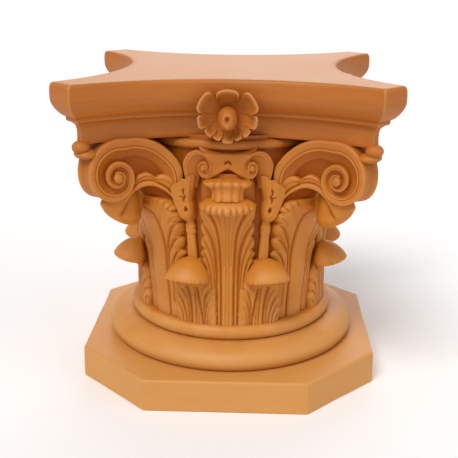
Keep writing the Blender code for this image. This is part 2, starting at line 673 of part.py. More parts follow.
def apply_modifiers(thing):
    """Replace an object's mesh with its evaluated one, less the skins of closed-in pockets."""
    evaluated = thing.evaluated_get(bpy.context.evaluated_depsgraph_get())
    mesh = bpy.data.meshes.new_from_object(evaluated)
    thing.modifiers.clear()
    thing.data = outer_skin(mesh)


def thin_carving(thing, crisp):
    """Thin the joined body, but leave the vertices that it has from the crisp pieces."""
    tree = KDTree(len(crisp))
    for index, point in enumerate(crisp):
        tree.insert(point, index)
    tree.balance()
    loose = [vert.index for vert in thing.data.vertices if tree.find(vert.co)[2] > WELD]
    group = thing.vertex_groups.new(name="carving")
    group.add(loose, 1.0, 'REPLACE')
    thinning = thing.modifiers.new("thinning", 'DECIMATE')
    thinning.vertex_group = group.name
    thinning.use_collapse_triangulate = True
    thinning.ratio = SOLID_TRIANGLES / sum(len(face.vertices) - 2 for face in thing.data.polygons)
    apply_modifiers(thing)
    thing.vertex_groups.clear()
    close_pinholes(thing.data)


def close_pinholes(mesh):
    """Merge the corners of the small holes that thinning may leave where the pieces join."""
    shape = bmesh.new()
    shape.from_mesh(mesh)
    torn = {vert for edge in shape.edges if not edge.is_manifold for vert in edge.verts}
    bmesh.ops.remove_doubles(shape, verts=list(torn), dist=PINHOLE)
    shape.to_mesh(mesh)
    shape.free()


def outer_skin(mesh):
    """Drop the skins of small pockets that the overlapping pieces close in, and keep the outer one."""
    shape = bmesh.new()
    shape.from_mesh(mesh)
    left = set(shape.verts)
    islands = []
    while left:
        reached = [left.pop()]
        for vert in reached:
            for edge in vert.link_edges:
                other = edge.other_vert(vert)
                if other in left:
                    left.remove(other)
                    reached.append(other)
        islands.append(reached)
    islands.sort(key=len)
    pockets = [vert for island in islands[:-1] for vert in island]
    bmesh.ops.delete(shape, geom=pockets, context='VERTS')
    shape.to_mesh(mesh)
    shape.free()
    return mesh


def painted_plaster():
    """Matt terracotta paint over a cast body."""
    paint = bpy.data.materials.new("terracotta paint")
    paint.use_nodes = True
    surface = paint.node_tree.nodes["Principled BSDF"]
    surface.inputs["Base Color"].default_value = (0.62, 0.28, 0.075, 1.0)
    surface.inputs["Roughness"].default_value = 0.5
    surface.inputs["Metallic"].default_value = 0.0
    paint.diffuse_color = (0.62, 0.28, 0.075, 1.0)
    return paint


for leftover in list(bpy.data.objects):
    bpy.data.objects.remove(leftover)

capital = bpy.data.collections.new("corinthian capital")
cutters = bpy.data.collections.new("cutters")
bpy.context.scene.collection.children.link(capital)
bpy.context.scene.collection.children.link(cutters)

# The exact solver loses parts of the fine carving, so the manifold one joins the closed pieces.
body = new_object("corinthian_capital", outward(abacus_mesh()), capital)
mouldings = round_mouldings(cutters)
apply_modifiers(mouldings)
plinth = new_object("plinth", plinth_mesh(), cutters)
crisp_points = [vert.co.copy() for piece in (body, mouldings, plinth) for vert in piece.data.vertices]
for helper in (carving(cutters), mouldings, plinth):
    helper.hide_render = True
    helper.display_type = 'WIRE'
    joining = body.modifiers.new("join " + helper.name, 'BOOLEAN')
    joining.operation = 'UNION'
    joining.solver = 'MANIFOLD'
    joining.object = helper
apply_modifiers(body)
thin_carving(body, crisp_points)
body.data.materials.append(painted_plaster())
body.data.shade_smooth()
body.data.set_sharp_from_angle(angle=math.radians(SHARP_ANGLE))
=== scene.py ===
"""The finish and fine carving of a Corinthian capital pedestal, cast in plaster and painted terracotta.

Shapes are worked out in millimetres, with +Z up and the front towards -Y, and new_piece turns them into
metres. A ring is a closed row of points, and each skin is a stack of rings. Beside its three
coordinates a point carries a painted shade value, from 0 on open surfaces to 1 in the bottom of a
groove, darker wherever shade falls in cuts, hollows and undersides, and below 0 where it is painted
paler: a sheen on the flat top, highlights on the petal rims and, with rubbed paint, on the tip fronts.
"""

import math

import bpy
import numpy as np
from mathutils import Matrix, Vector


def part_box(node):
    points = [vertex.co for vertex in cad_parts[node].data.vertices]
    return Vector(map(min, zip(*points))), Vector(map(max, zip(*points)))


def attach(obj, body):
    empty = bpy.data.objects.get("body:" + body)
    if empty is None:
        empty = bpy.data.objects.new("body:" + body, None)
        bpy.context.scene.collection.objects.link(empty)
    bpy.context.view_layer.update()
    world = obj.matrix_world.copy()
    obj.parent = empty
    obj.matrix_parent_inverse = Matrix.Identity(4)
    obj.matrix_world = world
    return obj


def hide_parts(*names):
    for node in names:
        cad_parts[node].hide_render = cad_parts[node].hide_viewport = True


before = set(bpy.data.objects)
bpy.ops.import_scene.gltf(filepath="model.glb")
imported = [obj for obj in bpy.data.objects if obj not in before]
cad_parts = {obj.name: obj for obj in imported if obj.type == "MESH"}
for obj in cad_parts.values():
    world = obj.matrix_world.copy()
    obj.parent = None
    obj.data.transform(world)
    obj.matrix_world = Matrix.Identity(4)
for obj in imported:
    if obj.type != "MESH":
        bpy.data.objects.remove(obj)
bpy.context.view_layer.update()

# Camera, at the photograph's angle: a little right of the middle, a third higher than the top of the
# capital and looking down on it.
CAMERA_PLACE = Vector((0.0388, -1.1524, 0.5561))
CAMERA_LOOK = Vector((-0.0324, 0.9601, -0.2778))
CAMERA_ROLL = math.radians(0.39)

camera = bpy.data.objects.new("camera", bpy.data.cameras.new("camera"))
camera.data.sensor_width = 36
camera.data.lens = 65.53
camera.data.shift_x = -0.0052
camera.data.shift_y = -0.0557
camera.matrix_world = (Matrix.Translation(CAMERA_PLACE)
                       @ CAMERA_LOOK.to_track_quat('-Z', 'Y').to_matrix().to_4x4()
                       @ Matrix.Rotation(CAMERA_ROLL, 4, 'Z'))
bpy.context.scene.collection.objects.link(camera)
bpy.context.scene.camera = camera


# Plinth: the square block with cut corners that stands on the floor. Cast plaster, its edges softened
# by handling, under two coats of matt terracotta paint put on with a brush.
CAD_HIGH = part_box("corinthian_capital")[1]
TOP = CAD_HIGH.z * 1000
PLINTH_HALF, PLINTH_CUT, PLINTH_HEIGHT, PLINTH_EDGE = 200, 94, 44, 2.6


def to_linear(hex_colour):
    """Linear RGBA of an sRGB hex colour."""
    parts = [int(hex_colour[place:place + 2], 16) / 255 for place in (1, 3, 5)]
    return [part / 12.92 if part <= 0.04045 else ((part + 0.055) / 1.055) ** 2.4 for part in parts] + [1]


def add_node(tree, kind, settings, links):
    """Add a node, set its properties and sockets, and link its sockets to other nodes' outputs."""
    node = tree.nodes.new("ShaderNode" + kind)
    for name, value in settings.items():
        if isinstance(name, int) or name in node.inputs:
            node.inputs[name].default_value = value
        else:
            setattr(node, name, value)
    for socket, output in links.items():
        tree.links.new(output, node.inputs[socket])
    return node


def colour_steps(node, steps):
    """Set the stops of a colour ramp from pairs of a place and a hex colour."""
    stops = node.color_ramp.elements
    for stop, (place, colour) in zip(list(stops), (steps[0], steps[-1])):
        stop.position = place
        stop.color = to_linear(colour)
    for place, colour in steps[1:-1]:
        stops.new(place).color = to_linear(colour)
    return node


# Matt emulsion over plaster, brushed on and wiped: a fine grain under strokes that run round the piece
# and show most on the abacus. Shade is painted into its colour: darker in the cuts and hollows, and darker
# towards the top, paler on the base, for light that falls off with height. A sheen is painted paler on the
# flat top and highlights on the rims, and rubbed edges are paler. Strokes are about 70 mm long and 7 mm
# wide, and the grain is drawn as coarse as it needs to show.
PATCH_SIZE, PATCH_STRENGTH, GRAIN_SIZE = 0.045, 0.28, 0.0016
STROKES_PER_METRE = (14, 14, 150)
# Sockets of a colour mix: the share of the second colour, the two colours and the result.
SHARE, FIRST, SECOND, MIXED = 0, 6, 7, 2

paint = bpy.data.materials.new("matt_terracotta_paint")
paint.use_nodes = True
tree = paint.node_tree
place = add_node(tree, "TexCoord", {}, {}).outputs["Object"]
patches = add_node(tree, "TexNoise", {"Scale": 1 / PATCH_SIZE, "Detail": 3, "Roughness": 0.55},
                   {"Vector": place})
stretched = add_node(tree, "Mapping", {"Scale": STROKES_PER_METRE}, {"Vector": place})
strokes = add_node(tree, "TexNoise", {"Scale": 1, "Detail": 4, "Roughness": 0.6},
                   {"Vector": stretched.outputs["Vector"]})
grain = add_node(tree, "TexNoise", {"Scale": 1 / GRAIN_SIZE, "Detail": 2}, {"Vector": place})
upright = add_node(tree, "SeparateXYZ", {}, {"Vector": place})
level = add_node(tree, "MapRange", {"From Max": CAD_HIGH.z}, {"Value": upright.outputs["Z"]})
# Painted shade: the coat's colour runs from paler at the base to darker at the top, for light that falls
# off with height, under random patches.
patches_and_height_shade = add_node(tree, "Math", {"operation": 'MULTIPLY_ADD', 1: PATCH_STRENGTH},
                     {0: patches.outputs["Fac"], 2: level.outputs["Result"]})
coat = colour_steps(add_node(tree, "ValToRGB", {}, {"Fac": patches_and_height_shade.outputs["Value"]}),
                    [(0.08, "#D5984E"), (0.3, "#D2924A"), (0.42, "#CC8128"), (0.8, "#C97A22"),
                     (0.98, "#B96A1C")])
stroke_tone = colour_steps(add_node(tree, "ValToRGB", {}, {"Fac": strokes.outputs["Fac"]}),
                           [(0.36, "#DFCFBD"), (0.62, "#FFFFFF")])
streaks = add_node(tree, "MapRange", {"From Min": 0.78, "From Max": 0.92, "To Min": 0.12, "To Max": 0.34},
                   {"Value": level.outputs["Result"]})
brushed = add_node(tree, "Mix", {"data_type": 'RGBA', "blend_type": 'MULTIPLY'},
                   {SHARE: streaks.outputs["Result"], FIRST: coat.outputs["Color"],
                    SECOND: stroke_tone.outputs["Color"]})
# Painted shade: a dark brown #9A4608 is mixed in by each point's painted shade value, most in the cuts,
# hollows and undersides.
shade_and_sheen = add_node(tree, "Attribute", {"attribute_name": "shade_and_sheen"}, {})
painted_shade_mix = add_node(tree, "Mix", {"data_type": 'RGBA', SECOND: to_linear("#9A4608")},
                  {SHARE: shade_and_sheen.outputs["Fac"], FIRST: brushed.outputs[MIXED]})
bend = add_node(tree, "NewGeometry", {}, {})
edges = add_node(tree, "MapRange", {"From Min": 0.515, "From Max": 0.6, "To Max": 0.55},
                 {"Value": bend.outputs["Pointiness"]})
# Paler #E0A765 on rubbed convex edges, and where the painted shade value is below 0: a painted sheen on the
# flat top and painted highlights on the rims and the tip fronts.
wear_and_sheen = add_node(tree, "Math", {"operation": 'SUBTRACT'},
                {0: edges.outputs["Result"], 1: shade_and_sheen.outputs["Fac"]})
rubbed_and_sheen = add_node(tree, "Mix", {"data_type": 'RGBA', SECOND: to_linear("#E0A765")},
                  {SHARE: wear_and_sheen.outputs["Value"], FIRST: painted_shade_mix.outputs[MIXED]})
gloss = add_node(tree, "MapRange", {"To Min": 0.46, "To Max": 0.6}, {"Value": strokes.outputs["Fac"]})
dull = add_node(tree, "MapRange", {"To Min": 0.45, "To Max": 0.05}, {"Value": shade_and_sheen.outputs["Fac"]})
fine = add_node(tree, "Bump", {"Strength": 0.25, "Distance": 0.0003}, {"Height": grain.outputs["Fac"]})
brush_marks = add_node(tree, "Bump", {"Strength": 0.18, "Distance": 0.0005},
                       {"Height": strokes.outputs["Fac"], "Normal": fine.outputs["Normal"]})
surface = tree.nodes["Principled BSDF"]
surface.inputs["IOR"].default_value = 1.48
for socket, output in {"Base Color": rubbed_and_sheen.outputs[MIXED], "Roughness": gloss.outputs["Result"],
                       "Specular IOR Level": dull.outputs["Result"],
                       "Normal": brush_marks.outputs["Normal"]}.items():
    tree.links.new(output, surface.inputs[socket])


def with_shade_and_sheen(points, shade_and_sheen=0):
    """Points with their painted shade value as a fourth number."""
    shade_and_sheen = np.broadcast_to(np.asarray(shade_and_sheen, float), points.shape[:-1])
    return np.concatenate([points, shade_and_sheen[..., None]], axis=-1)


def lofted(rings):
    """Closed skin over a stack of rings: four-sided faces between neighbours, and a fan at each end.

    The sign of the volume under the skin, a share of the sum of each face's middle times its area
    vector, tells whether it faces outwards. If it doesn't, every face is turned round.
    """
    rows, columns = rings.shape[:2]
    number = np.arange(rows * columns).reshape(rows, columns)
    after = np.roll(number, -1, axis=1)
    quads = np.stack([number[:-1], after[:-1], after[1:], number[1:]], axis=-1).reshape(-1, 4)
    low_end, high_end = rows * columns, rows * columns + 1
    fans = np.concatenate([np.stack([after[0], number[0], np.full(columns, low_end)], axis=-1),
                           np.stack([number[-1], after[-1], np.full(columns, high_end)], axis=-1)])
    points = np.concatenate([rings.reshape(-1, 4), rings[[0, -1]].mean(axis=1)])
    a, b, c, d = (points[quads[:, corner], :3] for corner in range(4))
    volume = ((a + b + c + d) / 4 * np.cross(c - a, d - b)).sum()
    a, b, c = (points[fans[:, corner], :3] for corner in range(3))
    volume += ((a + b + c) / 3 * np.cross(b - a, c - a)).sum()
    if volume < 0:
        quads, fans = quads[:, ::-1], fans[:, ::-1]
    return points, quads, fans


def new_piece(name, skins, sharp_angle=50):
    """One object of painted plaster from closed skins, riding on the body in place of the casting."""
    points, faces, start = [], [], 0
    for skin_points, quads, fans in skins:
        points.append(skin_points)
        faces += (quads + start).tolist() + (fans + start).tolist()
        start += len(skin_points)
    points = np.concatenate(points)
    mesh = bpy.data.meshes.new(name)
    mesh.from_pydata((points[:, :3] / 1000).tolist(), [], faces)
    mesh.attributes.new("shade_and_sheen", 'FLOAT', 'POINT').data.foreach_set("value", points[:, 3].astype(np.float32))
    mesh.materials.append(paint)
    mesh.shade_smooth()
    mesh.set_sharp_from_angle(angle=math.radians(sharp_angle))
    thing = bpy.data.objects.new(name, mesh)
    bpy.context.scene.collection.objects.link(thing)
    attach(thing, "root")
    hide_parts("corinthian_capital")


def uneven(points, depth, length):
    """Hand finish: push points towards the middle by a slow sum of sines, from 0 to the depth."""
    x, y, z = points[..., 0] / length, points[..., 1] / length, points[..., 2] / length
    wave = np.sin(5.1 * x + 2.3 * z + 0.7) * np.cos(4.3 * y - 1.9 * z) + np.sin(3.7 * z + 2.9 * y + 1.1 * x)
    push = depth * (0.5 + 0.25 * wave)
    reach = np.linalg.norm(points[..., :2], axis=-1, keepdims=True)
    moved = points.copy()
    moved[..., :2] *= 1 - push[..., None] / np.maximum(reach, 1)
    return moved


def plinth_ring(inset, height, straight=16, turn=5):
    """Eight-sided outline of the plinth, moved in by the inset, with a small arc at each corner.

    A corner is where two neighbouring sides of the outline meet after both move in by the arc's radius.
    Each arc is drawn about it, and equal steps join one arc to the next.
    """
    radius = PLINTH_EDGE
    half = PLINTH_HALF - inset - radius
    run = PLINTH_HALF - PLINTH_CUT - (inset + radius) * (math.sqrt(2) - 1)
    corners = np.array([(half, run), (run, half), (-run, half), (-half, run),
                        (-half, -run), (-run, -half), (run, -half), (half, -run)])
    angles = np.radians(45) * (np.arange(8)[:, None] + np.linspace(0, 1, turn))
    arcs = corners[:, None] + radius * np.stack([np.cos(angles), np.sin(angles)], axis=-1)
    share = np.linspace(0, 1, straight + 2)[1:-1, None]
    sides = arcs[:, -1:] * (1 - share) + np.roll(arcs[:, :1], -1, axis=0) * share
    outline = np.concatenate([arcs, sides], axis=1).reshape(-1, 2)
    return np.concatenate([outline, np.full((len(outline), 1), height)], axis=1)


plinth_profile = [(150, 0), (60, 0), (20, 0), (3, 0), (0.8, 0.7), (0, 3)]
plinth_profile += [(0, height) for height in np.linspace(6, PLINTH_HEIGHT - 5, 8)]
plinth_profile += [(PLINTH_EDGE * (1 - math.cos(turn)), PLINTH_HEIGHT - PLINTH_EDGE * (1 - math.sin(turn)))
                   for turn in np.radians((0, 30, 60, 90))]
plinth_profile += [(inset, PLINTH_HEIGHT) for inset in (6, 12, 22, 36, 60, 100, 150)]
plinth_rings = np.stack([plinth_ring(inset, height) for inset, height in plinth_profile])
new_piece("plinth", [lofted(with_shade_and_sheen(uneven(plinth_rings, depth=1.2, length=60)))])


# Base mouldings: a large torus and a small one above it, turned in the plaster model and cast with the
# rest. Shade is painted into the two joints, above and below the large torus.
TORUS_RADIUS, TORUS_TOP, TORUS_BELLY, TORUS_BULGE = 176.5, 74.2, 55, 33
SMALL_TORUS_RADIUS, SMALL_TORUS_BULGE, SMALL_TORUS_RISE = 144.5, 7.5, 9.4
FOOT_TOP = 92.8


def ramp(value, start=0, end=1):
    """Rise smoothly from 0 where the value is the start to 1 where it is the end, which may be lower."""
    share = np.clip((value - start) / (end - start), 0, 1)
    return share * share * (3 - 2 * share)


def round_to(angle, radius, height):
    """Point at an angle in radians from the front towards +X, at a radius and a height."""
    angle, radius, height = np.broadcast_arrays(angle, radius, height)
    return np.stack([radius * np.sin(angle), -radius * np.cos(angle), height], axis=-1)


def all_round(count):
    """Angles at equal steps round a full turn."""
    return np.linspace(0, 2 * math.pi, count, endpoint=False)


def turned(profile, shade_and_sheen, columns=240):
    """Rings of a turned piece from rows of a radius and a height."""
    points = round_to(all_round(columns), profile[:, :1], profile[:, 1:])
    return with_shade_and_sheen(points, np.asarray(shade_and_sheen)[:, None])


turn = np.radians(np.linspace(-38, 88, 34))
torus = np.stack([TORUS_RADIUS - TORUS_BULGE * (1 - np.cos(turn)),
                  TORUS_BELLY + (TORUS_TOP - TORUS_BELLY) * np.sin(turn)], axis=-1)
turn = np.radians(np.linspace(-70, 82, 22))
small_torus = np.stack([SMALL_TORUS_RADIUS - SMALL_TORUS_BULGE * (1 - np.cos(turn)),
                        (TORUS_TOP + FOOT_TOP) / 2 + SMALL_TORUS_RISE * np.sin(turn)], axis=-1)
base_profile = np.concatenate([[(120, 38), (160, 40)], torus, small_torus,
                               [(128, FOOT_TOP), (110, FOOT_TOP)]])
# Painted shade under and over the large torus, under the small one, and at the hidden ends.
under_torus = 0.75 * ramp(torus[:, 1], 49.5, 43.5)
over_torus = 0.5 * ramp(torus[:, 0], 147, 141)
under_small_torus = 0.7 * ramp(small_torus[:, 1], 77.5, 73.5)
base_shade = np.concatenate([[1, 1], under_torus + over_torus, under_small_torus, [0.6, 0.6]])
new_piece("base_mouldings", [lofted(turned(base_profile, base_shade))])


# Bell: the core of the capital, nearly straight, with a rounded lip that shows under the middle of each
# side of the abacus. The leaves are carved out of it.
BELL_RADIUS, BELL_NECK_RADIUS = 126, 131
BELL_LIP_RADIUS, BELL_LIP_ROUND, BELL_LIP_OVERHANG = 139, 5, 7
BELL_LIP_LOW, BELL_LIP_HIGH = 331, 343
BELL_RECESS = 2
ABACUS_BASE = 345


def bell_radius(height):
    """Radius of the plain bell: nearly straight, with a flare that grows as the cube of a smooth rise."""
    flare = ramp(height, FOOT_TOP, BELL_LIP_LOW) ** 3
    return BELL_RADIUS + (BELL_LIP_RADIUS - BELL_LIP_OVERHANG - BELL_RADIUS) * flare


turn = np.radians(np.linspace(-90, 90, 13))
lip_middle, lip_half = (BELL_LIP_LOW + BELL_LIP_HIGH) / 2, (BELL_LIP_HIGH - BELL_LIP_LOW) / 2
lip = np.stack([BELL_LIP_RADIUS - BELL_LIP_ROUND * (1 - np.cos(turn)),
                lip_middle + lip_half * np.sin(turn)], axis=-1)
heights = np.linspace(FOOT_TOP - 2, BELL_LIP_LOW, 24)
core = np.stack([bell_radius(heights) - BELL_RECESS * (1 - ramp(heights, 150, 230)), heights], axis=-1)
neck = [(BELL_NECK_RADIUS, BELL_LIP_HIGH + 0.5), (BELL_NECK_RADIUS, ABACUS_BASE + 3)]
# Painted shade on the bell's ground between the leaves, and under its lip.
bell_shade = np.concatenate([np.full(len(core), 0.55), 0.4 * ramp(lip[:, 1], 333, 330), [0.2, 0.2]])
new_piece("bell", [lofted(turned(np.concatenate([core, lip, neck]), bell_shade))])


# Middle leaves: the four tall acanthus leaves in the middle of the sides. Each rises from the base
# mouldings with a ribbed midrib that spreads under its tip, and has finger-shaped lobes at its sides.
LEAF_RADIUS, LEAF_SUNK, LEAF_EDGE_DROP = 134, 9, 4
MIDDLE_LEAF_TOP, MIDDLE_LEAF_LEAN, MIDDLE_LEAF_STAND = 263, 16, 9.5
MIDDLE_LEAF_BEND = (172, 262)
QUARTER_TURNS = ((1, 0), (0, 1), (-1, 0), (0, -1))


def on_bell(centre, across, height, out):
    """Point on the bell at a distance round it from a centre line in degrees, standing out from it."""
    return round_to(math.radians(centre) + across / LEAF_RADIUS, bell_radius(height) + out, height)


def groove(distance, width):
    """Cut with a round bottom: 1 at distance 0, falling like a bell curve over its width."""
    return np.exp(-(distance / width) ** 2)


def curve_through(points, count, closed=False):
    """Smooth curve through a few points, at equal steps of its parameter.

    Each stretch is the cubic that leaves and reaches its ends along the lines between their neighbours.
    """
    points = np.asarray(points, float)
    last = len(points)
    if closed:
        travel = np.linspace(0, last, count, endpoint=False)
        stretch = travel.astype(int)
        before, start, end, after = (points[(stretch + step) % last] for step in (-1, 0, 1, 2))
    else:
        travel = np.linspace(0, last - 1, count)
        stretch = np.minimum(travel.astype(int), last - 2)
        longer = np.concatenate([[2 * points[0] - points[1]], points, [2 * points[-1] - points[-2]]])
        before, start, end, after = (longer[stretch + step] for step in (0, 1, 2, 3))
    share = (travel - stretch)[:, None]
    leave, reach = (end - before) / 2, (after - start) / 2
    return ((2 * share ** 3 - 3 * share ** 2 + 1) * start + (share ** 3 - 2 * share ** 2 + share) * leave
            + (3 * share ** 2 - 2 * share ** 3) * end + (share ** 3 - share ** 2) * reach)


def cut_along(across, height, points, width):
    """Groove along a curve that rises through points of (across, height), fading at its two ends.

    Its distance is taken level and made shorter by the curve's slope. A width of two numbers grows from
    the first at the foot to the second at the top, and a longer cut fades over more of its height.
    """
    line = curve_through(points, 80)
    rising = np.maximum.accumulate(line[:, 1])
    place = np.interp(height, rising, line[:, 0])
    slope = np.interp(height, rising, np.gradient(line[:, 0]) / np.maximum(np.gradient(rising), 1e-3))
    foot, top = rising[0], rising[-1]
    fade = min(10, 2 + 0.08 * (top - foot))
    ends = ramp(height, foot - 1, foot + 2) * ramp(height, top + 1, top + 1 - fade)
    width = np.interp(height, [foot, top], np.broadcast_to(width, 2))
    return groove((across - place) / np.hypot(1, slope), width) * ends


def carved(across, height, cuts):
    """Depth and painted shade of a list of cuts, each a curve with its width, depth and painted shade."""
    depth, shade_and_sheen = 0, 0
    for points, width, deep, dark in cuts:
        cut = cut_along(across, height, points, width)
        depth, shade_and_sheen = np.maximum(depth, deep * cut), np.maximum(shade_and_sheen, dark * cut)
    return depth, shade_and_sheen


def outline(points):
    """Half width of a leaf as a function of the height, from a few points of (half width, height)."""
    line = curve_through(points, 240)
    return lambda height: np.interp(height, np.maximum.accumulate(line[:, 1]), line[:, 0])


def back_columns(columns, count=8):
    """Numbers of the few columns that the hidden back of a piece needs, from the last to the first."""
    return np.linspace(columns - 1, 0, count).astype(int)


def crowded(count, reach=math.pi / 2):
    """Steps from -1 to 1 that get shorter towards both ends, as the sine of equal steps of an angle."""
    return np.sin(np.linspace(-reach, reach, count)) / math.sin(reach)


def leaf_panel(centre, heights, half_width, face, columns):
    """Rings of a leaf that lies on the bell.

    Rows run up the leaf and columns across it, closer together towards its edges. half_width(height) is
    its outline and face(across, height, share) says how far it stands out and how much shade is painted on
    it. The edge is rounded, with shade painted where it drops to the bell, and the back lies inside the
    bell.
    """
    height, share = np.meshgrid(heights, crowded(columns), indexing="ij")
    across = half_width(height) * share
    out, shade_and_sheen = face(across, height, share)
    rounding = np.sqrt(np.clip(1 - np.abs(share) ** 12, 0, 1))
    edge_shade = 0.45 * ramp(np.abs(share), 0.94, 1)
    front = with_shade_and_sheen(on_bell(centre, across, height, out * rounding - LEAF_EDGE_DROP * (1 - rounding)),
                      np.maximum(shade_and_sheen, edge_shade))
    few = back_columns(columns)
    back = with_shade_and_sheen(on_bell(centre, across[:, few], height[:, few], -LEAF_SUNK))
    return np.concatenate([front, back], axis=1)


def four_sides(*shapes, flips=(1,)):
    """Skins of the rings of each shape, on all four sides."""
    skins = []
    for rings in shapes:
        for cos, sin in QUARTER_TURNS:
            turn = np.array([[cos, sin, 0, 0], [-sin, cos, 0, 0], [0, 0, 1, 0], [0, 0, 0, 1]])
            skins += [lofted((rings * (flip, 1, 1, 1)) @ turn) for flip in flips]
    return skins


middle_leaf_width = outline([
    (33, 90), (33, 125), (34, 150), (36.5, 164), (34, 171), (37.5, 177), (38, 181.5), (34.8, 185.5),
    (37.5, 190), (37.5, 194), (33.5, 198.5), (36.2, 203), (36.5, 208), (35, 214), (32, 218.5), (34.2, 223),
    (35.2, 229), (34, 235), (31.5, 239.5), (34, 244), (35.2, 252), (35.5, 262)])
# Each cut: its curve, its width, its depth and the shade painted in it.
MIDDLE_CUTS = [
    ([(2.1, 88), (2.1, 136), (1.9, 179), (1.9, 215), (2.3, 245), (2.8, 262)], (1, 1.2), 1.2, 0.25),
    ([(4.6, 176), (4.9, 190), (5.4, 208), (6.4, 226), (9, 244), (12.5, 260)], (0.9, 1.5), 1.1, 0.2),
    ([(8.2, 88), (8.2, 136), (8.7, 164), (9.4, 193), (10.4, 215), (13, 233), (17, 245), (23, 257)],
     (1.4, 1.7), 3, 0.6),
    ([(11.6, 150), (12.2, 172), (13.2, 192), (14.6, 210), (18.2, 226), (23.5, 239), (29.5, 252)],
     (0.9, 1.7), 1.3, 0.22),
    ([(13.2, 88), (13.6, 108), (14.2, 140), (14.6, 164), (16.1, 193), (18.6, 209), (22.8, 223), (27.3, 233),
      (33, 241)], (1.3, 2.4), 3.6, 0.6),
    ([(17, 135), (17.5, 155), (18.5, 171), (20.6, 184), (24.6, 200), (33, 219.5)], (1.1, 1.9), 2.3, 0.4),
    ([(20.5, 140), (22.5, 163), (26, 179), (30.5, 190), (35.5, 199.5)], (0.9, 1.8), 1.8, 0.3),
    ([(25.5, 145), (27, 160), (31, 175), (36, 186)], (0.9, 1.6), 1.7, 0.3),
    ([(29.5, 158), (32.5, 166), (36, 171.5)], (0.9, 1.4), 1.6, 0.3)]


def middle_leaf_face(across, height, share):
    """Leans out towards the tip, bulges a little over the midrib and carries the cuts on both sides."""
    lean = MIDDLE_LEAF_LEAN * ramp(height, *MIDDLE_LEAF_BEND)
    depth, shade_and_sheen = carved(np.abs(across), height, MIDDLE_CUTS)
    rib = 1.4 * groove(across, 9)
    return MIDDLE_LEAF_STAND + lean + rib - depth - 1.5 * share ** 2, shade_and_sheen


heights = np.linspace(FOOT_TOP - 1, MIDDLE_LEAF_TOP, 110)
middle_leaf = leaf_panel(0, heights, middle_leaf_width, middle_leaf_face, columns=94)
new_piece("middle_leaves", four_sides(middle_leaf))


# Turned-over tips of the middle leaves: a lip with nine small lobes that hangs over the ribs, and above
# it a small leaf that is rolled at its top and bottom, with ribs between, in front of plain ground.
# Cast with the leaves. Their fronts are paler, partly rubbed paint and partly a painted highlight, and
# shade is painted in their slits.
def turned_tip(profile, centre, reach, width, lift, slits, slit_depth, slit_top, slit_width=0.9,
               stand=0, rows=34, columns=138, square=2, rub_and_highlight=0.25, lobes=0):
    """Rings of a leaf tip that turns over, each level and half an ellipse in front of the leaf.

    The profile gives the share of the reach and the share of the width at each height. The two ends
    stand off from the leaf and are lifted. Slits lie at the given distances from the middle, below
    slit_top, and between them the front can swell in lobes. A square above 2 fills out the ellipse's
    shoulders, and one below 2 thins them. Shade is painted in the slits, and the front is painted paler,
    partly as rubbed paint and partly as a painted highlight.
    """
    line = curve_through(profile, rows)
    reach_share, width_share = np.clip(line[:, :1], 0.0004, None), np.clip(line[:, 1:2], 0.01, None)
    height = line[:, 2:]
    around = all_round(columns)
    side, front = np.sin(around), np.cos(around)
    filled = (np.abs(side) ** square + np.abs(front) ** square) ** (-1 / square)
    side, front = side * filled, front * filled
    across = width / 2 * width_share * side
    nearest = np.abs(np.abs(across)[..., None] - np.asarray(slits)).min(axis=-1)
    slit = groove(nearest, slit_width) * ramp(height, slit_top, slit_top - 4) * (front > 0.05)
    slit = slit * ramp(reach_share, 0.25, 0.55)
    valley = lobes * groove(nearest, 2.6) * ramp(height, slit_top + 6, slit_top - 2) * (front > 0)
    ahead = np.where(front > 0, stand + (reach - stand) * front, stand + 16 * front) * reach_share
    angle = math.radians(centre) + across / (LEAF_RADIUS + 1)
    out = 1.5 + ahead - slit_depth * slit - valley * reach_share
    points = round_to(angle, LEAF_RADIUS + out, height + lift * side ** 2 * width_share)
    return with_shade_and_sheen(points, 0.4 / slit_width * slit - rub_and_highlight * ramp(reach_share * front, 0.5, 0.9))


lip_profile = [
    (0.02, 0.34, 272), (0.36, 0.52, 271.6), (0.66, 0.72, 270.2), (0.88, 0.88, 267.2), (1, 0.98, 262.8),
    (0.99, 1, 259), (0.91, 0.9, 255), (0.74, 0.74, 252.4), (0.5, 0.6, 250), (0.25, 0.46, 246),
    (0.02, 0.3, 238)]
middle_lip = turned_tip(lip_profile, centre=0, reach=36.5, width=64, lift=1, slits=(3.9, 10.2, 16.8, 23.6),
                        slit_depth=1.9, slit_top=267, stand=15, square=1.75, lobes=0.8)
roll_profile = [
    (0.1, 0.6, 296.5), (0.55, 0.9, 297.6), (0.85, 1, 296.4), (0.96, 1, 293.6), (0.94, 0.92, 290.4),
    (0.88, 0.76, 287.6), (0.85, 0.68, 284), (0.88, 0.66, 279.8), (0.96, 0.66, 276), (0.99, 0.66, 272.6),
    (0.9, 0.65, 270), (0.6, 0.6, 267.6), (0.3, 0.5, 264), (0.02, 0.3, 260)]
middle_roll = turned_tip(roll_profile, centre=0, reach=28.5, width=59, lift=-3.5, slits=(5.5, 14),
                         slit_depth=1.7, slit_top=300, slit_width=1.6, rows=46, columns=130, square=3,
                         rub_and_highlight=0.1)
blank_width = outline([(36, 240), (37.5, 258), (38, 272), (36.5, 288), (32, 301)])


def blank_face(across, height, share):
    """Plain ground between the tips and the sheaths, rounded off towards its sides and its top."""
    out = 11 - 4 * np.abs(share) ** 3 - 3 * ramp(height, 290, 301)
    # Painted shade on this sunk ground, darker towards its sides.
    return out, 0.3 + 0.4 * np.abs(share) ** 4


tip_blank = leaf_panel(0, np.linspace(240, 301, 22), blank_width, blank_face, columns=40)
new_piece("middle_leaf_tips", four_sides(middle_lip, middle_roll, tip_blank))


# Corner leaves: the four tall leaves under the corners. A broad smooth midrib runs up each and ends in a
# rounded point, and the sides have five lobes below a jagged head. Behind each is a hollow hood.
CORNER_LEAF_TOP, CORNER_LEAF_LEAN, CORNER_LEAF_BEND = 266, 23, (178, 268)

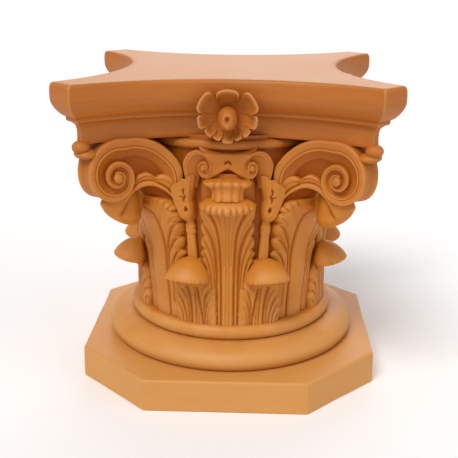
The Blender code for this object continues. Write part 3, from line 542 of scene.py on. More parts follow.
corner_leaf_width = outline([
    (36, 90), (36, 150), (38, 170), (41.5, 178), (46.5, 183), (47.5, 188.5), (41.5, 192.5), (45, 197),
    (47.2, 204), (46.5, 209.5), (42, 212.5), (45.5, 216.5), (47.5, 223), (47, 230), (44, 233.5),
    (47, 237.5), (47.6, 243), (46.4, 247.3), (43, 249.3), (45.6, 252.5), (44, 256.5), (39.6, 259.8),
    (37.6, 262.5), (32, 264.8), (25, 266)])
# Each cut: its curve, its width, its depth and the shade painted in it.
CORNER_CUTS = [
    ([(15.8, 88), (15.2, 133), (15.2, 167), (15.8, 200), (16.2, 219), (15.6, 232), (13.2, 241),
      (7.7, 247.5), (0.5, 251.5)], (1.3, 1.7), 2.8, 0.65),
    ([(19.7, 150), (19.8, 181.3), (22.3, 188), (27, 195.8), (33, 204.6), (42, 213)], (1.2, 1.7), 2.6, 0.6),
    ([(19.2, 186), (21.5, 197.5), (26, 208.2), (31.5, 219), (37, 227.5), (44, 234)], (1.1, 1.7), 2.6,
     0.55),
    ([(26, 168), (29, 178.5), (34.5, 187), (41.5, 193)], 1.3, 2.4, 0.55),
    ([(19.3, 226), (23.5, 241.8), (29.4, 253.3), (34.2, 263)], (1.4, 2.4), 1.1, 0.15),
    ([(38.5, 245.5), (41.5, 248), (45.5, 249.8)], 1.1, 2.2, 0.5),
    ([(24, 110), (24.5, 150), (25.5, 176)], 1.6, 1.6, 0.4),
    ([(23, 190), (28, 201), (35, 211), (41, 217)], 1, 1, 0.2),
    ([(31, 228), (36, 237), (42.5, 243.5)], 1.1, 1.2, 0.25),
    ([(25, 205), (31, 214), (38, 222.5)], 0.9, 0.9, 0.2),
    ([(34, 251), (37.5, 255.5), (41.5, 259.5)], 1.1, 2, 0.45),
    ([(28.5, 254.5), (31, 259), (34.5, 264)], 1.1, 1.8, 0.4),
    ([(21.5, 258), (23.5, 262), (26, 266)], 1.1, 1.5, 0.35)]


def corner_leaf_face(across, height, share):
    """Lies close to the bell at its foot and leans out towards the tip, with a rounded midrib."""
    rise = 6.5 * ramp(height, FOOT_TOP, FOOT_TOP + 90)
    lean = CORNER_LEAF_LEAN * ramp(height, *CORNER_LEAF_BEND)
    depth, shade_and_sheen = carved(np.abs(across), height, CORNER_CUTS)
    rib = 2 * np.clip(1 - (across / 17) ** 2, 0, 1)
    under_tip = 5 * ramp(height, 252, 260) * groove(across, 14)
    return 1.5 + rise + lean + rib - under_tip - depth - 1.5 * share ** 2, shade_and_sheen


closer = np.sin(np.linspace(0, math.pi / 2, 112)) ** 0.95
heights = FOOT_TOP - 1 + (CORNER_LEAF_TOP - FOOT_TOP + 1) * closer
corner_leaf = leaf_panel(45, heights, corner_leaf_width, corner_leaf_face, columns=98)

hollow_width = outline([
    (50, 205), (52, 232), (50.5, 245), (47, 256), (42, 267), (36.5, 276), (30, 283), (22, 288.5),
    (12, 292)])


def hollow_face(across, height, share):
    """Ground behind the corner leaf, which rises out behind the scroll leaves like the inside of a hood."""
    lean = 5 + CORNER_LEAF_LEAN * ramp(height, *CORNER_LEAF_BEND)
    lift = 7 * ramp(height, 258, 284)
    # Painted shade in the hood, darkest under its rim and at its sides.
    dark = 0.45 + 0.45 * ramp(height, 262, 270) + 0.3 * share ** 4
    return (lean + lift) * (1 - 0.72 * (across / 48) ** 2) - 2, np.minimum(dark, 0.95)


corner_hollow = leaf_panel(45, np.linspace(205, 291, 32), hollow_width, hollow_face, columns=40)
new_piece("corner_leaves", four_sides(corner_leaf, corner_hollow))


# Tips of the corner leaves: they lean out along the diagonal under the large scrolls, each a solid
# tongue of plaster with a rounded underside, between the rolls of the two scroll leaves.
TIP_MIDDLE = np.array([186, 255])
TIP_OUTLINE = [
    (222.5, 266), (220.5, 259.2), (214.8, 250.2), (202.9, 239.8), (187.6, 231.2), (173, 229.6),
    (164.5, 232.5), (160.5, 242), (157, 253), (158, 266), (168, 276), (190, 280), (212, 276.5)]


def on_diagonal(along, across, height):
    """Point at a distance along the diagonal of the front right corner, and across it."""
    along, across, height = np.broadcast_arrays(along, across, height)
    return np.stack([(along + across) / math.sqrt(2), (across - along) / math.sqrt(2), height], axis=-1)


def corner_tip(rows=44, columns=100):
    """Rings that stand upright along the diagonal, each the tongue's outline drawn in to its middle.

    The outline shrinks towards the two sides, slowly at first, which leaves full sides with round edges.
    The tongue is pointed at its foot, broadest about half way out, and has a few soft ribs at its front.
    A crease carries the lower edge of the scroll leaf down each side, and inside it the tongue is thinner.
    """
    rim = curve_through(TIP_OUTLINE, columns, closed=True)
    share = crowded(rows) * 0.997
    size = (1 - np.abs(share) ** 3) ** (1 / 2.2)
    drawn = TIP_MIDDLE + (rim - TIP_MIDDLE) * size[:, None, None]
    along, height = drawn[..., 0], drawn[..., 1]
    half = np.interp(along, [157, 163, 169, 175, 182, 195, 207, 223],
                     [1, 3.5, 8.5, 13, 16, 17.5, 16.5, 10.5])
    side = ramp(np.abs(share)[:, None], 0.3, 0.7)
    crease_line = np.interp(height, [247, 253, 257.8, 264, 270, 276],
                            [203.5, 200.5, 197.8, 194.6, 191.5, 187])
    low = ramp(height, 246, 253)
    crease = groove(along - crease_line, np.where(along < crease_line, 6, 2.4)) * side * low
    thinner = 3.2 * ramp(along, crease_line, crease_line - 2.5) * side * ramp(height, 240, 254)
    across = np.maximum(half * np.abs(share[:, None]) - thinner - 2.2 * crease, 0.2)
    across = across * np.sign(share[:, None])
    ribs = 0.5 * np.cos(across * 0.55) * ramp(along, 190, 210)
    # Shade is painted in the crease.
    return with_shade_and_sheen(on_diagonal(along + ribs, across, height), 0.65 * crease)


new_piece("corner_leaf_tips", four_sides(corner_tip()))


# Low leaves: eight small acanthus leaves in front of the tall ones, two to a side, cast with them. Fine
# ribs spread down from a cap that turns over like a mushroom's, finely slit under its rim, and the sides
# curl in small lobes.
LOW_LEAF_ANGLE, LOW_CAP_ANGLE, LOW_LEAF_TOP = 18.7, 20.9, 187

low_leaf_width = outline([
    (30, 88), (30.5, 95), (32.3, 103), (32.5, 109.5), (29.5, 115), (31.8, 120), (31.5, 126), (28.5, 131),
    (30.8, 136), (30, 142), (25.5, 149), (19, 155), (14, 161), (11, 172), (9, 182), (7, 188)])
# Each cut: its curve, its width, its depth and the shade painted in it.
LOW_CUTS = [
    ([(4, 86), (4.2, 98), (5.3, 116), (7.2, 130), (11, 143), (14, 149)], (1.7, 2.3), 3.2, 0.55),
    ([(-2.8, 86), (-2.5, 98), (-1.8, 112), (-0.5, 133), (1, 149)], (1.1, 1.3), 2, 0.45),
    ([(-7, 86), (-6.4, 98), (-4.3, 120), (-2.5, 135), (-0.3, 149)], 1, 1.5, 0.3),
    ([(-12, 86), (-10.9, 99), (-7.5, 120), (-4.8, 134), (-2.2, 149)], (1.3, 1.6), 3.2, 0.65),
    ([(7.8, 86), (8.1, 98), (9.2, 115), (11.8, 128), (17, 137), (23, 142)], (1, 1.5), 1.8, 0.4),
    ([(12, 86), (12.1, 98), (13.2, 105), (16, 116), (20.3, 125), (26, 131)], (1.2, 1.6), 2.6, 0.5),
    ([(17, 88), (17.6, 101), (20.4, 110), (25, 116), (31, 119)], (1.1, 1.4), 2.2, 0.45),
    ([(22.5, 88), (23, 96), (25.5, 102), (30, 105)], 1.1, 2, 0.45),
    ([(-12.6, 98), (-12.8, 118), (-14.5, 131), (-19, 141), (-27.5, 148)], (1.1, 1.5), 2.4, 0.5),
    ([(-14, 88), (-14.3, 101), (-15.7, 117), (-19.7, 128), (-29, 134)], (1, 1.5), 2.4, 0.5),
    ([(-17.4, 88), (-17.7, 99), (-18.6, 109), (-21.6, 116), (-29.5, 119.5)], (1, 1.4), 2.2, 0.45),
    ([(-21, 88), (-21.5, 97), (-24.5, 102), (-30.5, 105)], 1.1, 2, 0.45),
    ([(-8.9, 141), (-13.1, 148), (-20, 154)], 2.2, 1.6, 0.2)]


def low_leaf_face(across, height, share):
    """Nearly flat ground with the cuts, which differ on the two sides of the leaf, bent out to the cap."""
    depth, shade_and_sheen = carved(across, height, LOW_CUTS)
    bend = 5 * ramp(height, 148, 162)
    return 10.5 + bend - depth - 1.5 * share ** 2, shade_and_sheen


heights = np.linspace(FOOT_TOP - 1, LOW_LEAF_TOP - 4, 60)
low_leaf = leaf_panel(LOW_LEAF_ANGLE, heights, low_leaf_width, low_leaf_face, columns=78)


def in_pairs(*shapes):
    """Skins of the rings of each shape, on all four sides, each with its mirror image."""
    return four_sides(*shapes, flips=(1, -1))


new_piece("low_leaves", in_pairs(low_leaf))

cap_profile = [
    (0.02, 0.14, 186.4), (0.2, 0.36, 185.8), (0.42, 0.57, 183.6), (0.64, 0.75, 179.4), (0.83, 0.9, 173.8),
    (0.95, 0.98, 168.8), (1, 1, 165.4), (0.98, 0.99, 163.2), (0.84, 0.93, 161.8), (0.54, 0.78, 158.6),
    (0.26, 0.6, 152), (0.02, 0.4, 146)]
low_cap = turned_tip(cap_profile, centre=LOW_CAP_ANGLE, reach=36.5, width=54, lift=-5,
                     slits=(1.7, 5.4, 8.6, 12.8, 16, 20.9), slit_depth=0.4, slit_top=169, stand=9,
                     rows=31, rub_and_highlight=0.22)
new_piece("low_leaf_caps", in_pairs(low_cap))


# Sheaths: the vase-shaped stems between the leaves from which the scrolls grow. Each has a stalk, a
# collar and a cup that is split down its front, with a drilled eye at the foot of the split.
SHEATH_STEPS, STALK_ACROSS = 60, 48
EYE_ACROSS, EYE_HEIGHT, EYE_HALF_HEIGHT = 50.3, 253.5, 3.9
SPLIT_ACROSS, SPLIT_FOOT, SPLIT_TOP, BRANCH_HEIGHT = 51.8, 261, 281, 269

cup_outer = curve_through([
    (50, 232.5), (54, 237), (57.8, 244), (61.2, 253), (64.2, 262), (66.2, 271), (67, 280)], SHEATH_STEPS)
cup_inner = curve_through([
    (48.4, 232.5), (45, 237), (42.4, 246), (42.6, 256), (44.2, 266), (42.4, 276), (40, 287),
    (38.6, 298.5)], SHEATH_STEPS)


def sheath_cup(columns=52):
    """Rings of the cup, one for each step up its two edges, from the inner edge to the outer.

    It swells from its inner edge and stays full up to the outer one, where the scroll leaf grows out of
    it. A jagged split with one branch runs up it, and the drilled eye is a pit at the foot of the split.
    The top edge is lobed and slants down to the outer side, and fine ribs run up the inner half.
    """
    share = (crowded(columns) + 1) / 2
    line = cup_inner[:, None] * (1 - share[None, :, None]) + cup_outer[:, None] * share[None, :, None]
    across, height = line[..., 0], line[..., 1]
    rise = np.linspace(0, 1, len(line))[:, None]
    swell = np.sqrt(np.clip(1 - np.minimum(2 * share - 1, 0) ** 2, 0, 1))
    split_line = SPLIT_ACROSS + 0.9 * np.sin((height - 263) * 0.62)
    split_ends = ramp(height, SPLIT_FOOT, SPLIT_FOOT + 3) * ramp(height, SPLIT_TOP, SPLIT_TOP - 4)
    split = 0.75 * groove(across - split_line, 1) * split_ends
    branch = groove(height - BRANCH_HEIGHT - 0.2 * (across - 52), 0.9) * ramp(across, 51.5, 52.5)
    split = np.maximum(split, 0.6 * branch * ramp(across, 58, 55.5))
    above_eye = (height - EYE_HEIGHT) / EYE_HALF_HEIGHT
    eye_half_width = 2.1 * (1 - 0.4 * np.clip(above_eye, 0, 1))
    eye = ramp(np.hypot((across - EYE_ACROSS) / eye_half_width, above_eye), 1.2, 0.75)
    cut = np.clip(split + eye, 0, 1)
    halves = groove(across - split_line, 4.5) * ramp(rise, 0.35, 0.65)
    ribs = 0.4 * np.cos(34 * share) * ramp(rise, 0.3, 0.6) * ramp(share, 0.6, 0.4)
    out = 6 + (3.5 + 6.5 * ramp(rise, 0, 0.35)) * swell + 5 * rise - halves - 5 * cut
    out = out + 1.5 * share * ramp(rise, 0, 0.3)
    crest = (2 * np.sin(math.pi * share) + 2.6 * np.abs(np.sin(3 * math.pi * share))) * ramp(rise, 0.7, 1)
    points = round_to(across / LEAF_RADIUS, bell_radius(height) + out + ribs, height + crest)
    back = points[:, back_columns(columns)] * (0.93, 0.93, 1)
    # Shade is painted in the split and the eye, and on the hidden back.
    return np.concatenate([with_shade_and_sheen(points, 0.7 * cut), with_shade_and_sheen(back, 0.5)], axis=1)


def sheath_stalk(columns=24):
    """Rings of the stalk and collar: ellipses in front of the bell, with a shallow flute down the front."""
    line = curve_through([
        (178, 7), (200, 6.6), (214, 6.2), (218, 6.3), (219.2, 7.2), (223, 7.3), (224.2, 6.7), (225.4, 7.3),
        (229.5, 7.3), (231, 6.3), (233, 5.8), (236.5, 6), (242, 8)], SHEATH_STEPS)
    height, half = line[:, :1], line[:, 1:]
    around = all_round(columns)
    flute = 0.6 * groove(np.sin(around) * 4.5, 1) * (np.cos(around) > 0)
    out = 5 + (half * 0.75 - flute) * np.cos(around)
    lean = STALK_ACROSS + 2.6 * ramp(height, 180, 240)
    points = round_to((lean + half * np.sin(around)) / LEAF_RADIUS, bell_radius(height) + out, height)
    # Shade is painted on the sides of the stalk that turn away from the front.
    return with_shade_and_sheen(points, 0.3 * ramp(np.cos(around), 0.3, -0.3))


new_piece("sheaths", in_pairs(sheath_cup(), sheath_stalk()))


# Large scrolls: two to a side, under the corners of the abacus. A band with a ridge along its inner
# side rises from the sheath, arches over and rolls up, with a hollow channel between its turns. Each
# turn stands further out, like a snail's shell, and the whole leans forward towards the corner.
ABACUS_HALF, ABACUS_CUT, ABACUS_HOLLOW = CAD_HIGH.x * 1000, 30.7, 66.3
SIDE_HALF = ABACUS_HALF - ABACUS_CUT
SIDE_RADIUS = (SIDE_HALF ** 2 + ABACUS_HOLLOW ** 2) / (2 * ABACUS_HOLLOW)
SIDE_CENTRE = ABACUS_HALF - ABACUS_HOLLOW + SIDE_RADIUS
SCROLL_INSET = 19
SCROLL_EYE, SCROLL_RADIUS = np.array([135, 299]), 49.5
SCROLL_START, SCROLL_TURNS, SCROLL_STEPS = 105, 2.15, 180
SCROLL_TIGHTENING, SCROLL_SQUEEZE = 0.14, (0.78, 1)
SCROLL_FLARE, FLARE_START, FLARE_END, FLARE_RISE = 8.5, 108, 165, 0.27
STEM_STEPS, POCKET_STEPS, STRAP_STEPS = 54, 46, 71


def on_side(across, height, proud, inset=SCROLL_INSET):
    """Point on the hollow face that lies the inset behind the abacus's edge, standing proud of it."""
    across, height, proud = np.broadcast_arrays(across, height, proud)
    angle = np.arcsin(across / (SIDE_RADIUS + inset))
    radius = SIDE_RADIUS + inset - proud
    return np.stack([radius * np.sin(angle), radius * np.cos(angle) - SIDE_CENTRE, height], axis=-1)


def on_scroll(across, height, proud):
    """Point on the face of the large scrolls, which comes forward and a little up towards the corner."""
    points = on_side(across, height, proud)
    forward = SCROLL_FLARE * ramp(points[..., 0], FLARE_START, FLARE_END)
    points[..., 1] -= forward
    points[..., 2] += FLARE_RISE * forward
    return points


def coil(first_turn):
    """Edge of a scroll from a turn on: clockwise, and smaller by an equal share for each radian."""
    travel = np.linspace(first_turn, first_turn + SCROLL_TURNS, SCROLL_STEPS)[:, None] * 2 * math.pi
    angle = math.radians(SCROLL_START) - travel
    size = SCROLL_RADIUS * np.exp(-SCROLL_TIGHTENING * travel)
    return SCROLL_EYE + size * np.concatenate([np.cos(angle), np.sin(angle)], axis=1) * SCROLL_SQUEEZE


def banded(outer, inner, section, place, front, back, size=1):
    """Rings of a band between two lines on a face.

    The section lists shares of the way from the outer line to the inner one, each with how far it stands
    in front of the band's face and the shade painted on it. Two more points close the ring at the back,
    with shade painted on them.
    """
    section = np.asarray(section, float)
    share, stand, shade_and_sheen = section.T
    line = outer[:, None] * (1 - share[:, None]) + inner[:, None] * share[:, None]
    ahead = np.reshape(front, (-1, 1)) + stand * np.reshape(size, (-1, 1))
    face = with_shade_and_sheen(place(line[..., 0], line[..., 1], ahead), shade_and_sheen)
    ends = np.stack([inner, outer], axis=1)
    rear = with_shade_and_sheen(place(ends[..., 0], ends[..., 1], back), 0.5)
    return np.concatenate([face, rear], axis=1)


scroll_coil, next_coil = coil(0), coil(1)
scroll_stem = curve_through([
    (62, 279.5), (58.2, 287), (57, 296), (57.8, 304), (60.2, 311), (64.2, 317.5), (72.5, 327.5),
    (86, 338.5), (100, 345), (113, 347.4), tuple(scroll_coil[0])], STEM_STEPS)
stem_inner = curve_through([
    (74, 281), (77, 292), (83, 303), (92, 313), (102, 319.5), (112, 322), (122, 321.5),
    tuple(next_coil[0])], STEM_STEPS)
scroll_edge = np.concatenate([scroll_stem[:-1], scroll_coil])
scroll_inner = np.concatenate([stem_inner[:-1], next_coil])
coil_share = np.concatenate([np.zeros(STEM_STEPS - 1), np.linspace(0, 1, SCROLL_STEPS)])
scroll_front = 7.5 * ramp(coil_share * 0.62)
scroll_size = 1 - 0.72 * ramp(coil_share, 0, 0.9)
# Painted shade in the groove beside the ridge and down into the channel between the turns.
SCROLL_SECTION = [
    (0, -9, 0.3), (0, -1.8, 0), (0.02, -0.7, 0), (0.07, 0, 0), (0.16, 0.1, 0), (0.26, -0.2, 0),
    (0.33, -0.3, 0), (0.365, -1, 0.45), (0.385, -1.1, 0.45), (0.41, -0.1, 0.05), (0.44, 0.25, 0),
    (0.475, 0, 0), (0.51, -1.2, 0.1), (0.56, -3.2, 0.2), (0.64, -5.2, 0.3), (0.74, -6.4, 0.4),
    (0.86, -6.9, 0.5), (0.95, -7, 0.65), (1, -7.2, 0.75), (1.06, -7.6, 0.8)]
scroll_band = banded(scroll_edge, scroll_inner, SCROLL_SECTION, on_scroll, scroll_front, back=-25,
                     size=scroll_size)
# Painted shade in the pocket behind the turns of the scroll.
POCKET_SECTION = [(0, -6.5, 0.6), (0.05, -8, 0.6), (0.3, -12.5, 0.7), (0.7, -13.5, 0.8), (1, -13, 0.8)]
pocket_upper = np.concatenate([stem_inner, next_coil[1:POCKET_STEPS + 1]])
pocket_lower = curve_through([(71, 266), (80, 275), (93, 282), (106, 281), (118, 276)],
                             len(pocket_upper))
scroll_pocket = banded(pocket_upper, pocket_lower, POCKET_SECTION, on_scroll, front=0, back=-26)


def button(eye, size, place, proud, swell, root):
    """Rings of the round eye of a scroll: half an ellipsoid on a stem that reaches back to the root."""
    turn, around = np.radians(np.linspace(4, 90, 9))[:, None], all_round(30)
    across = eye[0] + size[0] * np.sin(turn) * np.cos(around)
    height = eye[1] + size[1] * np.sin(turn) * np.sin(around)
    dome = with_shade_and_sheen(place(across, height, proud + swell * np.cos(turn)))
    # Shade is painted on the stem.
    stem = with_shade_and_sheen(place(across[-1:], height[-1:], root), 0.6)
    return np.concatenate([dome, stem])


scroll_button = button(SCROLL_EYE, (4.6, 5.6), on_scroll, proud=6.2, swell=2.4, root=-10)


def corner_strap(columns=16):
    """Rings of the strap between the two scrolls of a corner, following their outermost turn.

    Each ring runs from the rim of one coil to its mirror image across the diagonal, hollowed in its
    middle, and back through the plaster behind.
    """
    rim = scroll_coil[2:STRAP_STEPS + 2]
    inside = rim + 0.55 * (SCROLL_EYE - rim)
    share = np.linspace(0, 1, columns)[:, None]
    rings = []
    for line, proud, hollow in ((rim, -1, 2.4), (inside, -14, 0)):
        near = on_scroll(line[:, 0], line[:, 1], proud)
        far = np.stack([-near[:, 1], -near[:, 0], near[:, 2]], axis=-1)
        span = near[:, None] * (1 - share) + far[:, None] * share
        bow = hollow * np.sin(math.pi * share.T)
        towards = (SCROLL_EYE - line) / np.linalg.norm(SCROLL_EYE - line, axis=1)[:, None]
        span[..., 2] += bow * towards[:, 1:]
        reach = np.linalg.norm(span[..., :2], axis=-1)
        span[..., :2] *= (1 + bow * np.minimum(towards[:, :1], 0) / reach)[..., None]
        # Shade is painted on the strap's hollow and on its back.
        rings.append(with_shade_and_sheen(span, (0.2 if hollow else 0.5) + 0 * bow))
    return np.concatenate([rings[0], rings[1][:, ::-1]], axis=1)


new_piece("large_scrolls", in_pairs(scroll_band, scroll_pocket, scroll_button) + four_sides(corner_strap()))


# Scroll leaves: the leaf that grows out of each sheath and arches over the corner leaf. Its lower edge
# is a smooth roll that runs on under the large scroll and down the side of the corner leaf's tip, and
# its upper edge curls over in two round lobes.
SCROLL_LEAF_STEPS, LOBE_ENDS = 150, (7.2, 14.2)

leaf_lower = curve_through([
    (57, 237.5), (60.2, 243), (62.5, 250.5), (66, 260), (70, 266.5), (76, 273.2), (81.5, 277.3),
    (85.5, 279.6), (91, 282.2), (96.7, 283.2), (101.5, 283), (105, 282.2), (109, 280.7), (113, 278.5),
    (117, 275), (120.3, 270), (123.2, 264), (126, 257.8), (129.6, 253)], SCROLL_LEAF_STEPS)
leaf_upper = curve_through([
    (60.5, 262), (61.5, 272), (63.8, 281), (68, 289.5), (74, 295.5), (81, 298), (86, 296.5), (89, 294.5),
    (92.5, 297), (97, 300), (101.5, 301.5), (106, 300), (110, 298), (113.5, 293.5), (116.5, 287),
    (121.5, 279.5), (127.5, 274.2), (133.9, 269.5), (139, 264)], SCROLL_LEAF_STEPS)
# The travel counts the points that the two edges are drawn through, and what follows is given at some.
leaf_travel = np.linspace(0, 18, SCROLL_LEAF_STEPS)
outwards = (leaf_upper - leaf_lower) / np.linalg.norm(leaf_upper - leaf_lower, axis=1, keepdims=True)
roll_width = np.interp(leaf_travel, [0, 3, 8, 14, 18], [4.5, 6.5, 7.5, 8.5, 8])[:, None]
leaf_ridge = leaf_lower + roll_width * outwards
leaf_root = leaf_lower + (roll_width - 2) * outwards
lobe_gap = sum(groove(leaf_travel - end, 0.8) for end in LOBE_ENDS)
# Painted shade at the edges of the roll and in the creases of the lobes.
ROLL_SECTION = [
    (0, -9, 0.5), (0, -2.6, 0.5), (0.06, -1, 0.2), (0.18, 0.6, 0), (0.34, 1.5, 0), (0.52, 1.9, 0),
    (0.7, 1.6, 0), (0.84, 0.7, 0), (0.94, -0.7, 0.1), (1, -2.6, 0.45), (1, -12, 1)]
LOBE_SECTION = [
    (0, -10, 0.6), (0, -3, 0.1), (0.04, -1.2, 0), (0.12, 0.3, 0), (0.24, 0.9, 0), (0.36, 0.2, 0.15),
    (0.44, -0.5, 0.25), (0.54, 0.1, 0.1), (0.66, 0, 0.05), (0.78, -1, 0.2), (0.9, -2.4, 0.45),
    (1, -3, 0.6)]
leaf_front = np.interp(leaf_travel, [0, 4, 8, 14, 16, 18], [-2.5, -3, -5, -5, -7, -11])
roll_size = 0.35 + 0.65 * ramp(leaf_travel, 0, 6)
scroll_roll = banded(leaf_ridge, leaf_lower, ROLL_SECTION, on_scroll, leaf_front, back=-27, size=roll_size)
scroll_lobes = banded(leaf_upper, leaf_root, LOBE_SECTION, on_scroll, leaf_front - 0.8 - 2 * lobe_gap,
                      back=-27, size=(1 - 0.3 * lobe_gap) * roll_size)
new_piece("scroll_leaves", in_pairs(scroll_roll, scroll_lobes))


# Small scrolls: the pair in the middle of each side, joined by a hollow web with a drilled dimple under
# the lip of the bell. Their bands are broad and fluted where they leave the sheaths.
HELIX_OUT, HELIX_EYE, HELIX_STEPS = 149, (30.2, 310.6), 160
WEB_TOP, WEB_FOOT, DIMPLE_HEIGHT, BROW_HEIGHT = 327.8, 306.3, 316.6, 311.8


def on_helix(across, height, proud):
    """Point on the round face on which the small scrolls lie."""
    return round_to(across / HELIX_OUT, HELIX_OUT + proud, height)


helix_edge = curve_through([
    (57.5, 282), (57.2, 293), (59.3, 304), (59.9, 313), (56.5, 321.5), (50.3, 328.2), (42, 331),
    (33.5, 329.5), (25.8, 324.6), (20.6, 318), (20.2, 310), (22.8, 302.5), (28.5, 297.4), (34, 299.3),
    (37.4, 306), (37.2, 313.5), (33.2, 318.3), (28, 318.2), (25, 314), (24.8, 310),
    (26.4, 307.2)], HELIX_STEPS)
helix_inner = curve_through([
    (46, 282), (44, 294), (43.3, 302), (41.8, 308), (39.5, 313.5), (37, 317.3), (34, 319.3), (30.5, 319.5),
    (27, 317.5), (25, 314), (24.8, 310), (26.4, 307.2), (29.2, 306.3), (31.8, 307.4), (33.2, 309.8),
    (32.6, 312.3), (30.8, 313.2), (29.4, 312.4), (29.2, 311.2), (29.8, 310.6), (30.2, 310.6)], HELIX_STEPS)
travel = np.linspace(0, 1, HELIX_STEPS)
# Painted shade in the groove and down the hollow inner side of the band.
HELIX_SECTION = [
    (0, -8, 0.4), (0, -1.6, 0), (0.04, -0.5, 0), (0.1, 0, 0), (0.17, -0.2, 0.05), (0.21, -0.7, 0.25),
    (0.26, -0.2, 0.05), (0.32, -0.1, 0), (0.38, -0.6, 0.15), (0.43, -1.3, 0.2), (0.52, -2.2, 0.2),
    (0.64, -3, 0.25), (0.78, -3.6, 0.3), (0.9, -4, 0.4), (1, -4.3, 0.6), (1.18, -5.2, 0.7),
    (1.36, -6.5, 0.8)]
helix_front = -3 + 2 * ramp(travel, 0, 0.3) + 4.5 * ramp(travel, 0.4, 0.95)
helix_size = 1 - 0.62 * ramp(travel, 0.2, 0.8)
helix_band = banded(helix_edge, helix_inner, HELIX_SECTION, on_helix, helix_front, back=-22,
                    size=helix_size)
helix_button = button(HELIX_EYE, (3, 3.4), on_helix, proud=3.4, swell=1.4, root=-8)


def helix_web(rows=56, columns=36):
    """Rings of the web between the small scrolls: columns run down it, rows across.

    Its face is a saddle, hollow from side to side, whose ends follow the outer edges of the two coils and
    lie just behind them, and lean back to the lip of the bell at the top. Its lower edge is an arch, and
    an arched dimple is cut in its middle.
    """
    out = np.linspace(-1, 1, rows)[:, None]
    share = np.linspace(0, 1, columns)[None, :]
    upper = WEB_TOP + 7 * np.abs(out) ** 3
    lower = WEB_FOOT - 12.5 * ramp(np.abs(out), 0, 1.05)
    height = upper + (lower - upper) * share
    end = np.interp(height, [292, 297.4, 302.5, 310, 318, 324.6, 328, 331.5, 336],
                    [28, 27.5, 23.8, 21.2, 21.6, 26.8, 30.5, 36.5, 41])
    across = out * end
    dimple = groove(height - DIMPLE_HEIGHT + 0.14 * across ** 2, 1.5) * ramp(np.abs(across), 5.6, 3.8)
    brow = 1.8 * groove(np.hypot(across / 1.5, height - BROW_HEIGHT), 2.4)
    edge = 5 * np.abs(2 * share - 1) ** 10 * (1 - 0.7 * out ** 2)
    back = 8.5 * out ** 2 * ramp(height, 325.5, 332)
    proud = -8.5 + 7 * out ** 2 - back + 2.5 * np.abs(2 * share - 0.9) ** 2 - 3 * dimple + brow - edge
    # Painted shade in the dimple and, lightly, across the hollow middle of the web.
    face = with_shade_and_sheen(on_helix(across, height, proud), np.clip(0.85 * dimple + 0.1 * (1 - out ** 2), 0, 1))
    few = back_columns(columns, 6)
    rear = with_shade_and_sheen(on_helix(across[:, few], height[:, few], -20), 0.5)
    return np.concatenate([face, rear], axis=1)


new_piece("small_scrolls", in_pairs(helix_band, helix_button) + four_sides(helix_web()))


# Abacus: the moulded slab on top, with four hollow sides and cut corners. From below: a plain fascia, a
# small cove, a fillet, an ovolo and a tall upright face. Its top is flat, to carry a load.
ABACUS_STEP, ABACUS_CORNER_STEP, ABACUS_FASCIA_CUT = 29, 25.5, 7
CORNER_REACH = (ABACUS_HALF + SIDE_HALF) / math.sqrt(2)


def abacus_ring(inset, height, side_steps=92, corner_steps=12):
    """Outline of the abacus moved in by the inset, its corners rounded by averaging neighbours.

    The cut corners lie further in and get narrower as the inset grows to the fascia's. Each hollow side
    is the arc through its own middle and the ends of two corners, with its steps crowded at its ends.
    """
    share = inset / ABACUS_STEP
    along = CORNER_REACH - ABACUS_CORNER_STEP * share
    half_cut = (ABACUS_CUT + (ABACUS_FASCIA_CUT - ABACUS_CUT) * share) / math.sqrt(2)
    middle = ABACUS_HALF - ABACUS_HOLLOW - inset
    chord, hollow = (along - half_cut) / math.sqrt(2), (along + half_cut) / math.sqrt(2) - middle
    radius = (chord ** 2 + hollow ** 2) / (2 * hollow)
    sweep = math.asin(chord / radius) * crowded(side_steps + 1, 0.47 * math.pi)
    across, depth = radius * np.sin(sweep), middle + radius * (1 - np.cos(sweep))
    start, stop = np.array([across[-1], depth[-1]]), np.array([depth[-1], across[-1]])
    share = np.linspace(0, 1, corner_steps + 1)[1:-1, None]
    cut = start * (1 - share) + stop * share
    x = np.concatenate([across, cut[:, 0]])
    y = -np.concatenate([depth, cut[:, 1]])
    outline = np.concatenate([np.stack([x * cos - y * sin, x * sin + y * cos], axis=-1)
                              for cos, sin in QUARTER_TURNS])
    for _ in range(2):
        outline = (np.roll(outline, 1, axis=0) + 2 * outline + np.roll(outline, -1, axis=0)) / 4
    return np.concatenate([outline, np.full((len(outline), 1), height)], axis=1)


# Rows of inset, height and painted shade: darker in the cove and under the ovolo, and below 0 for a painted
# sheen at the top edge.
abacus_profile = [
    (27, ABACUS_BASE, 0.8), (28.2, 346.5, 0.5), (28.9, 349, 0.1), (29.2, 353, 0), (29.3, 358, 0),
    (29, 363, 0), (28.4, 366.4, 0.15), (26.6, 369.2, 0.3), (23.2, 371.6, 0.35), (19.6, 373, 0.2),
    (18.2, 373.6, 0), (17.4, 374.8, 0), (17.3, 377.4, 0.35), (16.6, 378.9, 0.45), (14.4, 380, 0.15),
    (11.6, 381.8, 0), (8.6, 384.6, 0), (5.6, 388, 0), (3, 391.8, 0), (1.2, 395.6, 0), (0.4, 399, 0),
    (0.2, 403, 0), (0.1, 408, 0), (0.3, 413, 0), (0.9, 416, 0), (1.9, 418.2, 0), (3.3, 419.5, 0),
    (5, TOP, -0.1), (8, TOP, -0.25), (13, TOP, -0.35)]
abacus_rings = np.stack([abacus_ring(inset, height) for inset, height, shade_and_sheen in abacus_profile])
abacus_shade_and_sheen = np.array(abacus_profile)[:, 2:]
under = np.stack([abacus_rings[0] * (size, size, 1) for size in (0.3, 0.6, 0.85)])
over = np.stack([abacus_rings[-1] * (size, size, 1) for size in (0.9, 0.7, 0.4, 0.15)])
abacus_rings = uneven(abacus_rings, depth=1, length=70)
